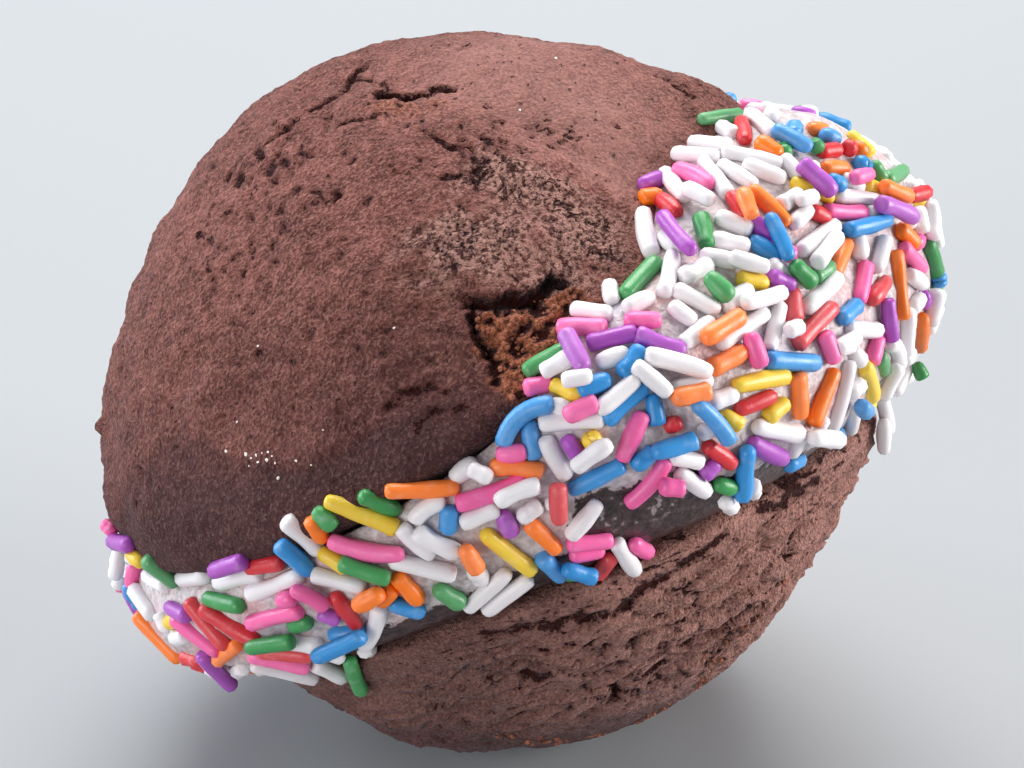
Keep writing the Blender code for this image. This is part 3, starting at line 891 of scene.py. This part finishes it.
def rods_piece(name, rods, picks):
    """A piece of many rods, each a copy of one ball drawn out: straight or bent, blunt, uneven."""
    mesh = bmesh.new()
    bmesh.ops.create_uvsphere(mesh, u_segments=SPRINKLE_SIDES, v_segments=SPRINKLE_RINGS, radius=1)
    ball = np.array([vert.co for vert in mesh.verts])
    owner = mesh.verts.layers.int.new("owner")
    spot = mesh.verts.layers.int.new("spot")
    for number, vert in enumerate(mesh.verts):
        vert[spot] = number
    copies = 1
    while copies < len(rods):
        made = bmesh.ops.duplicate(mesh, geom=mesh.verts[:] + mesh.edges[:] + mesh.faces[:])
        for item in made["geom"]:
            if isinstance(item, bmesh.types.BMVert):
                item[owner] += copies
        copies *= 2
    spare = [vert for vert in mesh.verts if vert[owner] >= len(rods)]
    bmesh.ops.delete(mesh, geom=spare, context="VERTS")
    bmesh.ops.recalc_face_normals(mesh, faces=mesh.faces)
    owners, spots = (np.array([vert[layer] for vert in mesh.verts]) for layer in (owner, spot))
    for layer in ("owner", "spot"):
        mesh.verts.layers.int.remove(mesh.verts.layers.int[layer])
    piece = add_piece(name, mesh)

    middle, along, side = (np.array([rod[part] for rod in rods])[:, None] for part in range(3))
    length, bend = (np.array([rod[part] for rod in rods])[:, None] for part in (3, 4))
    count = (len(rods), 1)
    radius = SPRINKLE_RADIUS * picks.uniform(*THICKNESSES, count)
    ends = picks.uniform(*END_BLUNTNESS, (len(rods), 2))
    taper = picks.uniform(*TAPERS, count)
    squash = picks.uniform(*FLATNESSES, count)
    wave, phase = picks.uniform(*WAVES, count), picks.uniform(0, 2 * math.pi, count)
    level = np.rint(np.arccos(np.clip(ball[:, 2], -1, 1)) / math.pi * SPRINKLE_RINGS).astype(int)
    far = level > SPRINKLE_RINGS / 2
    end = np.minimum(level, SPRINKLE_RINGS - level)
    last = len(END_RINGS) - 1
    inset, reach = np.array([END_RINGS[min(ring, last)] for ring in end]).T
    share = inset * np.where(far, ends[:, 1:], ends[:, :1]) * radius / length
    share += (0.5 - share) * (np.maximum(0, end - last) / (SPRINKLE_RINGS / 2 - last))
    share = np.where(far, 1 - share, share)
    run, drift, heading = rod_spine(length, bend, share)
    flat = np.maximum(np.hypot(ball[:, 0], ball[:, 1]), 0.01)
    thick = reach * radius * (1 + taper * (2 * share - 1) + wave * np.sin(9 * share + phase))
    east, north = ball[:, 0] / flat * thick, ball[:, 1] / flat * thick * squash
    run, drift = run - east * np.sin(heading), drift + east * np.cos(heading)
    points = middle + run[..., None] * along + drift[..., None] * side
    points += north[..., None] * np.cross(along, side)
    move_points(piece, points[owners, spots])
    add_mark(piece, "tone", picks.uniform(-1, 1, len(rods))[owners])
    return piece


# The rods that stand out in the picture: where both ends show, in pixels of a 1024 by 768 picture,
# and for some how far they bend, in radians. Lower rods come first.
LANDMARKS = (
    (
        "white",
        (143, 572, 170, 588), (178, 579, 209, 574), (218, 583, 258, 573), (246, 595, 304, 573),
        (316, 575, 362, 587), (135, 590, 152, 615), (246, 664, 322, 680), (284, 640, 318, 645),
        (316, 665, 343, 677), (393, 561, 452, 574), (403, 528, 432, 553, 0.5),
        (420, 532, 458, 551, 0.5), (442, 504, 417, 520, 1.0), (455, 478, 474, 464),
        (472, 470, 488, 478), (464, 522, 494, 509), (522, 518, 538, 506), (468, 607, 506, 573),
        (487, 610, 528, 580), (571, 535, 596, 505), (543, 423, 600, 420), (546, 440, 566, 475),
        (554, 405, 568, 408), (601, 362, 625, 354), (676, 388, 708, 380), (673, 458, 698, 462),
        (680, 474, 706, 492), (725, 502, 731, 507), (676, 153, 716, 156), (692, 143, 728, 146),
        (722, 127, 733, 133), (665, 172, 684, 197), (644, 212, 652, 252, 0.3),
        (664, 236, 676, 246), (704, 162, 728, 194), (722, 165, 752, 184), (746, 165, 782, 178),
        (725, 152, 778, 165), (686, 188, 710, 200), (672, 254, 664, 292), (683, 277, 708, 266),
        (677, 290, 716, 310), (673, 306, 692, 320), (726, 306, 748, 290), (745, 302, 782, 292),
        (704, 256, 735, 262), (733, 257, 765, 266), (719, 217, 748, 230), (714, 240, 746, 246),
        (772, 266, 803, 282), (806, 308, 836, 278), (802, 250, 834, 226), (794, 224, 808, 210),
        (818, 262, 838, 236), (782, 204, 798, 194), (800, 200, 814, 196), (784, 160, 800, 176),
        (845, 180, 860, 188), (838, 196, 878, 201), (868, 212, 892, 212), (858, 238, 860, 256),
        (885, 240, 877, 268), (910, 275, 922, 284), (684, 342, 710, 322), (722, 344, 764, 314),
        (780, 306, 770, 346), (704, 432, 709, 430), (712, 402, 734, 394), (850, 328, 878, 330),
        (840, 348, 856, 338), (888, 345, 898, 368, -1.0), (898, 368, 884, 396),
        (908, 312, 906, 352), (914, 372, 902, 396), (886, 402, 893, 436), (884, 424, 884, 450),
        (857, 392, 849, 440), (850, 362, 832, 430, -0.3), (750, 115, 772, 133),
        (610, 285, 612, 300),
    ),
    (
        "red",
        (741, 121, 745, 140), (822, 152, 838, 150), (847, 148, 851, 149), (661, 200, 677, 212),
        (732, 196, 744, 216), (792, 292, 794, 318), (886, 281, 872, 300), (798, 344, 834, 307),
        (738, 410, 772, 396), (708, 446, 731, 463), (669, 425, 678, 423), (599, 575, 612, 557),
        (248, 567, 280, 562), (204, 608, 256, 640), (190, 602, 226, 645), (335, 597, 356, 625),
        (262, 652, 308, 656), (910, 196, 926, 192), (814, 212, 826, 218),
    ),
    (
        "yellow",
        (131, 553, 141, 562), (323, 553, 346, 568), (555, 385, 580, 394), (587, 443, 596, 436),
        (741, 278, 764, 283), (795, 184, 830, 198), (866, 186, 898, 200), (736, 386, 786, 377),
        (768, 417, 784, 404), (724, 416, 738, 424), (863, 364, 872, 400, -0.3),
        (481, 530, 536, 573),
    ),
    (
        "green",
        (147, 560, 174, 582), (317, 512, 332, 525), (363, 497, 396, 510), (343, 563, 386, 578),
        (208, 598, 240, 606), (250, 648, 290, 642), (293, 626, 308, 622), (439, 589, 460, 602),
        (528, 371, 562, 351), (702, 119, 738, 115), (783, 147, 785, 153), (814, 143, 818, 148),
        (701, 218, 706, 243), (710, 277, 729, 296), (626, 294, 656, 262), (795, 265, 812, 282),
        (816, 276, 830, 266), (873, 165, 882, 178), (886, 180, 904, 170), (928, 244, 936, 272),
        (917, 366, 922, 376), (718, 484, 732, 488), (349, 658, 362, 692),
    ),
    (
        "orange",
        (311, 522, 322, 538), (134, 614, 182, 664), (217, 662, 238, 645), (398, 577, 419, 600),
        (494, 469, 538, 474, -0.7), (530, 525, 555, 549), (644, 197, 658, 196),
        (744, 192, 752, 214), (752, 190, 786, 222), (760, 142, 778, 154), (826, 168, 845, 169),
        (836, 272, 847, 244), (885, 186, 908, 196), (900, 230, 914, 244), (896, 252, 903, 318),
        (706, 338, 740, 316), (712, 368, 742, 352), (798, 377, 800, 415), (834, 373, 814, 422),
        (676, 398, 706, 392), (921, 316, 920, 350), (856, 146, 864, 152), (389, 491, 455, 487),
    ),
    (
        "purple",
        (112, 541, 130, 545), (214, 571, 242, 562), (169, 607, 186, 616), (198, 652, 236, 690),
        (322, 614, 336, 618), (503, 515, 511, 532), (567, 440, 578, 456), (591, 343, 633, 333),
        (639, 335, 681, 350), (643, 184, 660, 179), (663, 216, 692, 250), (750, 220, 772, 236),
        (803, 165, 832, 192), (882, 205, 914, 218, -0.3), (888, 302, 892, 338),
        (753, 443, 783, 458), (705, 474, 716, 464), (772, 277, 790, 285),
    ),
    (
        "blue",
        (120, 590, 125, 600), (281, 545, 309, 571), (333, 635, 362, 632), (316, 657, 360, 637),
        (393, 604, 421, 612), (449, 510, 448, 530), (543, 558, 561, 576), (583, 391, 607, 380),
        (623, 372, 640, 351), (607, 419, 643, 388), (653, 398, 657, 421), (529, 423, 534, 456),
        (506, 444, 550, 408, -1.5), (572, 489, 620, 466), (636, 465, 652, 452),
        (656, 452, 692, 441), (697, 405, 728, 440, -0.4), (748, 450, 743, 496),
        (776, 130, 808, 147), (770, 217, 788, 256), (753, 242, 778, 258), (858, 163, 868, 166),
        (832, 180, 842, 186), (848, 230, 888, 220), (842, 318, 856, 306), (765, 360, 820, 363),
        (944, 276, 945, 284), (862, 406, 866, 411),
    ),
    (
        "pink",
        (105, 524, 114, 531), (135, 567, 131, 585), (175, 620, 216, 652), (246, 625, 304, 610),
        (252, 655, 306, 668), (332, 540, 400, 553, 0.7), (460, 503, 524, 480),
        (500, 454, 522, 452), (528, 388, 548, 384), (561, 328, 602, 328), (568, 416, 594, 404),
        (571, 545, 608, 541), (574, 555, 600, 550), (634, 543, 648, 552), (628, 320, 657, 320),
        (623, 458, 642, 416), (629, 502, 664, 462, 0.6), (676, 171, 708, 186, -0.7),
        (855, 178, 870, 174), (828, 210, 862, 212), (866, 266, 860, 300), (904, 248, 922, 268),
        (825, 336, 834, 360), (878, 340, 872, 360),
    ),
    (
        "white",
        (287, 522, 318, 550), (500, 502, 536, 487, -0.5), (381, 600, 359, 654, -0.5),
        (545, 371, 570, 357), (566, 380, 588, 376), (577, 467, 608, 445), (600, 408, 634, 380),
        (637, 367, 667, 392), (648, 356, 708, 372), (575, 309, 608, 314), (628, 308, 650, 297),
        (617, 543, 635, 570), (747, 424, 808, 436),
    ),
    ("purple", (566, 334, 583, 366)),
    ("yellow", (328, 502, 394, 528)),
)
LANDMARK_LENGTHS = (1.3, 5.8)
LANDMARK_LIFTS = LIFTS + 0.35 * SPRINKLE_RADIUS
LANDMARK_ROOM = 1.45
HIDING_REACH = 12
# Bare places in the picture: x, y and how far round them
BARE_PIXELS = ((625, 518, 26), (658, 508, 22))
# The band's outline in the same picture: no rod that shows lies outside it
BAND_OUTLINE = (
    (100, 520), (122, 538), (165, 572), (205, 570), (250, 566), (284, 556), (288, 524),
    (320, 502), (390, 490), (455, 482), (502, 455), (505, 418), (530, 382), (562, 342),
    (580, 308), (612, 288), (638, 262), (648, 205), (645, 186), (672, 158), (705, 130),
    (712, 112), (748, 106), (775, 112), (800, 122), (830, 132), (862, 138), (886, 154),
    (908, 172), (930, 190), (937, 225), (940, 280), (932, 325), (922, 366), (907, 395),
    (895, 440), (880, 422), (850, 444), (832, 440), (806, 450), (782, 468), (748, 498),
    (726, 508), (700, 498), (665, 506), (640, 556), (605, 578), (572, 574), (535, 586),
    (505, 606), (468, 608), (440, 606), (388, 624), (362, 658), (352, 684), (335, 672),
    (300, 674), (250, 664), (235, 684), (195, 662), (160, 644), (125, 600), (106, 560),
)
PICTURE_WIDTH = 1024
PICTURE_X, PICTURE_Y = 512, 384
CAMERA_LEAN = math.radians(30)
CAMERA_RANGE = 186.2
CAMERA_SCALE = 11.6 * CAMERA_RANGE
camera_ahead = np.array((0, math.cos(CAMERA_LEAN), -math.sin(CAMERA_LEAN)))
camera_up = np.array((0, math.sin(CAMERA_LEAN), math.cos(CAMERA_LEAN)))
camera_place = top.centre + np.array((7.65, -1.64, -6.13)) - camera_ahead * CAMERA_RANGE


def tree_of(data):
    """A mesh's faces, for finding the nearest place on them."""
    mesh = bmesh.new()
    mesh.from_mesh(data)
    tree = BVHTree.FromBMesh(mesh)
    mesh.free()
    return tree


palette = [name for name, (colour, parts) in COLOURS.items() for count in range(parts)]
draw = random.Random(11)
picks = np.random.default_rng(11)
cake_trees = [tree_of(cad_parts[node].data) for node in ("top_cake", "bottom_cake")]
carriers = [tree_of(cream.data), *cake_trees]
widest = band_thickness(np.linspace(-math.pi, math.pi, 90)).max()
rods = []
marks_laid = np.empty((0, 3))


def clear_of_cakes(marks):
    """True where a rod keeps out of both cakes and the floor."""
    for mark in marks:
        if mark[2] < SPRINKLE_RADIUS + 0.1:
            return False
        for tree in cake_trees:
            place, normal, index, distance = tree.find_nearest(Vector(mark * MM))
            inside = (Vector(mark * MM) - place).dot(normal) < 0
            if inside or distance < 0.8 * SPRINKLE_RADIUS * MM:
                return False
    return True


def gap_to_carriers(point):
    """How far a point is from the nearest of the cream and the cakes, and the way out there."""
    nearest = [tree.find_nearest(Vector(point * MM)) for tree in carriers]
    place, normal, index, distance = min(nearest, key=lambda near: near[3])
    return distance / MM, np.array(normal)


def sight_through(x, y):
    """The direction of the line of sight through a pixel."""
    beside = np.array((x - PICTURE_X, 0, 0))
    return camera_ahead * CAMERA_SCALE + beside - camera_up * (y - PICTURE_Y)


def point_over(x, y, lift):
    """Where a pixel's line of sight first comes this near to cream or cake, or passes nearest."""
    sight = unit(sight_through(x, y))
    point = camera_place.copy()
    nearest = None
    for step in range(80):
        gap, normal = gap_to_carriers(point)
        if nearest is None or gap < nearest[0]:
            nearest = (gap, point, normal)
        if gap - lift < 0.02:
            break
        point = point + sight * (gap - lift)
    return nearest


def seen_at(points):
    """The pixels at which points show, and how far they are from the camera."""
    off = points - camera_place
    depth = off @ camera_ahead
    x = PICTURE_X + CAMERA_SCALE * off[:, 0] / depth
    y = PICTURE_Y - CAMERA_SCALE * (off @ camera_up) / depth
    return np.stack([x, y], 1), depth


def laid_where_seen(x0, y0, x1, y1, bend, lift):
    """A rod whose ends show at two pixels, lying on the cream; one end at least touches."""
    gap0, start, normal0 = point_over(x0, y0, lift)
    gap1, end, normal1 = point_over(x1, y1, lift)
    closer = min(gap0, gap1) - lift
    if closer > 0.1:
        drop = (normal0 if gap0 < gap1 else normal1) * closer
        start, end = start - drop, end - drop
    chord = np.linalg.norm(end - start) + SPRINKLE_RADIUS
    chord = min(max(chord, LANDMARK_LENGTHS[0]), LANDMARK_LENGTHS[1])
    along = unit(end - start)
    side = unit(np.cross(normal0 + normal1, along))
    length = chord * (bend / 2) / math.sin(bend / 2)
    middle = (start + end) / 2 - side * (length / bend * (1 - math.cos(bend / 2)))
    return middle, along, side, length, bend


for colour, *lines in LANDMARKS:
    for x0, y0, x1, y1, *bends in lines:
        bend = bends[0] if bends else draw.choice((-1, 1)) * draw.uniform(0.02, 0.2)
        choices = []
        for lift in LANDMARK_LIFTS:
            rod = laid_where_seen(x0, y0, x1, y1, bend, lift)
            marks = rod_marks(*rod)
            room = np.linalg.norm(marks[:, None] - marks_laid[None], axis=2).min(initial=math.inf)
            choices.append((min(room, LANDMARK_ROOM * SPRINKLE_RADIUS), -lift, marks, rod))
            if room > LANDMARK_ROOM * SPRINKLE_RADIUS:
                break
        room, lift, marks, rod = max(choices, key=lambda choice: choice[:2])
        marks_laid = np.vstack([marks_laid, marks])
        rods.append((rod, colour))
landmark_pixels, landmark_depths = seen_at(marks_laid)


def inside_outline(pixels, outline):
    """Whether each pixel lies inside a closed outline."""
    inside = np.zeros(len(pixels), bool)
    for (x0, y0), (x1, y1) in zip(outline, outline[1:] + outline[:1]):
        if y0 != y1:
            crosses = (pixels[:, 1] < y0) != (pixels[:, 1] < y1)
            inside ^= crosses & (pixels[:, 0] < x0 + (x1 - x0) * (pixels[:, 1] - y0) / (y1 - y0))
    return inside


def shows(point):
    """Whether nothing but rods stands between the camera and a point."""
    start = Vector(camera_place * MM)
    sight = Vector((point - camera_place) * MM)
    return all(tree.ray_cast(start, sight, sight.length)[0] is None for tree in carriers)


def spoils_picture(marks):
    """True where a rod would cover a landmark, or lie where the picture has none."""
    pixels, depths = seen_at(marks)
    apart = np.linalg.norm(pixels[:, None] - landmark_pixels[None], axis=2)
    if ((apart < HIDING_REACH) & (depths[:, None] < landmark_depths[None] + 0.3)).any():
        return True
    bare = ~inside_outline(pixels, BAND_OUTLINE)
    for x, y, reach in BARE_PIXELS:
        bare |= np.hypot(pixels[:, 0] - x, pixels[:, 1] - y) < reach
    return any(shows(mark) for mark in marks[bare])


for attempt in range(SPRINKLE_ATTEMPTS):
    angle = picks.uniform(-math.pi, math.pi, 4 * TRIES)
    share = picks.uniform(0, LOWEST_SHARE, 4 * TRIES)
    kept = picks.random(4 * TRIES) < band_thickness(angle) / widest
    angle, share = angle[kept][:TRIES], share[kept][:TRIES]
    best = None
    for point, away, level, low in zip(*lay_of(angle, share), share):
        turn = draw.uniform(0, math.pi)
        tilt = draw.gauss(0, TILT)
        along = level * math.cos(turn) + np.cross(away, level) * math.sin(turn)
        along = along * math.cos(tilt) + away * math.sin(tilt)
        side = unit(np.cross(away, along))
        broken = draw.random() < BROKEN_SHARE
        length = draw.uniform(*(BROKEN_LENGTHS if broken else SPRINKLE_LENGTHS))
        if draw.random() < SLIGHT_SHARE:
            bend = draw.gauss(0, SLIGHT_BEND)
        else:
            bend = draw.choice((-1, 1)) * draw.uniform(*STRONG_BENDS)
        marks = rod_marks(point, along, side, length, bend)
        near = marks_laid[np.abs(marks_laid - point).max(1) < NEAR_REACH]
        highest = EDGE_LIFT + (LIFTS[-1] - EDGE_LIFT) * min(1, (1 - low) / 0.3)
        for lift in LIFTS:
            if lift > highest or (best and lift >= best[0]):
                break
            moved = marks + away * lift
            apart = np.linalg.norm(moved[:, None] - near[None], axis=2).min(initial=math.inf)
            if apart < ROOM * SPRINKLE_RADIUS:
                continue
            if clear_of_cakes(moved) and not spoils_picture(moved):
                best = (lift, moved, (point + away * lift, along, side, length, bend))
                break
    if best:
        marks_laid = np.vstack([marks_laid, best[1]])
        rods.append((best[2], draw.choice(palette)))


def sugar_group():
    """Pressed sugar: a dye that is a little uneven, chalky in places, with a fine grain."""
    group, given = new_group("sugar", Place="Vector", Dye="Color", Tone="Float")
    dye, tone = given["Dye"], given["Tone"]
    cloud = clouds(given["Place"], 0.9)
    grain = clouds(given["Place"], 5)
    chalk = blend(0.3, dye, (0.9, 0.87, 0.9, 1))
    dark = blend(1.0, dye, (0.72, 0.7, 0.72, 1), "MULTIPLY")
    colour = blend(ramp(cloud, 0.56, 0.76, 0, 0.35), dye, chalk)
    colour = blend(ramp(tone, 0, -1, 0, 0.45), colour, dark)
    colour = blend(ramp(tone, 0, 1, 0, 0.25), colour, chalk)
    return put_out(group, colour, grain, ramp(cloud, 0.35, 0.65, 0.3, 0.46))


sugar = sugar_group()
for name, (colour, parts) in COLOURS.items():
    piece = rods_piece("sprinkles_" + name, [rod for rod, dye in rods if dye == name], picks)
    material, tree, place = new_material("sugar_" + name)
    body = {"Place": place, "Dye": (*colour, 1), "Tone": mark_of(tree, "tone")}
    body = add_node(tree, "Group", {"node_tree": sugar}, **body)
    dress(tree, *body.outputs, strength=0.25, distance=0.0001)
    piece.data.materials.append(material)
    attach(piece, "root")


# Loose crumb. Bits of the torn cakes that cling where the skin is split, and low on the lower
# cake's front. Each is a small rough lump of the same cake, sunk a little into what it lies on.
CRUMB_SIZES = (0.08, 0.24)
CRUMB_FLATNESSES = (0.6, 1)
# On which cake, how badly torn it has to be there, and how many
CRUMB_COUNTS = ((upper_cake, 0.6, 110), (lower_cake, 0.12, 130))


def lumps_piece(name, lumps, draw):
    """A piece of small rough lumps, given as place, way up, size and flatness."""
    mesh = bmesh.new()
    for point, normal, size, flatness in lumps:
        turn = Vector(normal).to_track_quat("Z", "Y").to_matrix().to_4x4()
        spin = Matrix.Rotation(draw.uniform(0, 2 * math.pi), 4, "Z")
        stretch = Matrix.Diagonal((draw.uniform(0.7, 1.3), 1, flatness, 1))
        place = Matrix.Translation(point) @ turn @ spin @ stretch
        made = bmesh.ops.create_icosphere(mesh, subdivisions=1, radius=size * MM, matrix=place)
        for vert in made["verts"]:
            vert.co += Vector([draw.uniform(-0.25, 0.25) * size * MM for axis in range(3)])
    piece = add_piece(name, mesh)
    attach(piece, "root")
    return piece


draw = random.Random(23)
CRUMB_DEEP = (0.12, 0.04, 0.025, 1)
CRUMB_PALE = (0.4, 0.16, 0.1, 1)
crumb_material = cake_material("loose_crumb", CRUMB_DEEP, CRUMB_PALE, CRUMB_COLOUR)
for cake_mesh, least, count in CRUMB_COUNTS:
    torn = np.empty(len(cake_mesh.data.vertices))
    cake_mesh.data.attributes["torn"].data.foreach_get("value", torn)
    spots = [cake_mesh.data.vertices[int(number)] for number in np.flatnonzero(torn > least)]
    crumbs = []
    for spot in (draw.choice(spots) for number in range(count)):
        size, flatness = draw.uniform(*CRUMB_SIZES), draw.uniform(*CRUMB_FLATNESSES)
        crumbs.append((spot.co, spot.normal, size, flatness))
    piece = lumps_piece("crumbs_on_" + cake_mesh.name, crumbs, draw)
    add_mark(piece, "torn", np.full(len(piece.data.vertices), 0.8))
    piece.data.materials.append(crumb_material)


# Flecks of sugar. Tiny pale flakes broken off the sprinkles, stuck flat to the upper cake's skin in
# front and on its crown. Their places are pixels of the same picture.
FLECKS = (
    (249, 466), (251, 458), (256, 455), (262, 453), (268, 452), (267, 460), (275, 463),
    (278, 478), (258, 462), (296, 461), (311, 465), (323, 430), (226, 451), (258, 346),
    (394, 328), (237, 422), (520, 110), (556, 58), (272, 456), (246, 454),
)
FLECK_SIZES = (0.08, 0.17)
FLECK_FLATNESSES = (0.3, 0.6)

skin_tree = tree_of(upper_cake.data)
flecks = []
for x, y in FLECKS:
    start, sight = Vector(camera_place * MM), Vector(sight_through(x, y))
    place, normal, index, distance = skin_tree.ray_cast(start, sight)
    size, flatness = draw.uniform(*FLECK_SIZES), draw.uniform(*FLECK_FLATNESSES)
    flecks.append((place, normal, size, flatness))
piece = lumps_piece("sugar_flecks", flecks, draw)
material, tree, place = new_material("sugar_fleck")
cloud = ramp(clouds(place, 1.5), 0.4, 0.6)
colour = blend(cloud, (0.8, 0.7, 0.62, 1), (0.9, 0.86, 0.84, 1))
shader = tree.nodes["Principled BSDF"]
tree.links.new(colour, shader.inputs["Base Color"])
shader.inputs["Roughness"].default_value = 0.45
piece.data.materials.append(material)


# The stage. A plain pale floor, soft light from above, behind and both sides, and a camera that
# stands where the picture was taken from.
mesh = bmesh.new()
bmesh.ops.create_grid(mesh, x_segments=1, y_segments=1, size=3)
floor = add_piece("floor", mesh)
material = bpy.data.materials.new("pale_floor")
material.use_nodes = True
shader = material.node_tree.nodes["Principled BSDF"]
shader.inputs["Base Color"].default_value = (0.32, 0.335, 0.35, 1)
shader.inputs["Roughness"].default_value = 0.6
floor.data.materials.append(material)

# Each lamp's name, place and size in metres, power in watts, and colour
LAMPS = (
    ("window", (0.0, 0.7, 1.0), 0.9, 21.5, (1.0, 0.985, 0.97)),
    ("right", (1.0, 0.0, 0.2), 0.6, 16.0, (1.0, 0.98, 0.96)),
    ("left", (-1.0, 0.35, 0.35), 0.7, 11.0, (0.86, 0.93, 1.0)),
    ("front left", (-0.75, -0.9, 0.25), 0.8, 9.0, (1.0, 0.98, 0.97)),
)
LAMP_AIM = Vector((0, 0, 0.03))
for name, spot, size, power, colour in LAMPS:
    light = bpy.data.lights.new(name, "AREA")
    light.size = size
    light.energy = power
    light.color = colour
    lamp = bpy.data.objects.new(name, light)
    lamp.location = spot
    lamp.rotation_euler = (LAMP_AIM - Vector(spot)).to_track_quat("-Z", "Y").to_euler()
    bpy.context.scene.collection.objects.link(lamp)

world = bpy.data.worlds.new("studio")
world.use_nodes = True
sky = world.node_tree.nodes["Background"].inputs
sky["Color"].default_value = (0.86, 0.92, 1.0, 1)
sky["Strength"].default_value = 0.32
bpy.context.scene.world = world
bpy.context.scene.view_settings.view_transform = "Standard"

lens = bpy.data.cameras.new("camera")
lens.sensor_width = 36
lens.lens = CAMERA_SCALE / PICTURE_WIDTH * lens.sensor_width
lens.clip_start = 0.01
camera = bpy.data.objects.new("camera", lens)
camera.location = Vector(camera_place * MM)
camera.rotation_euler = (math.pi / 2 - CAMERA_LEAN, 0, 0)
bpy.context.scene.collection.objects.link(camera)
bpy.context.scene.camera = camera
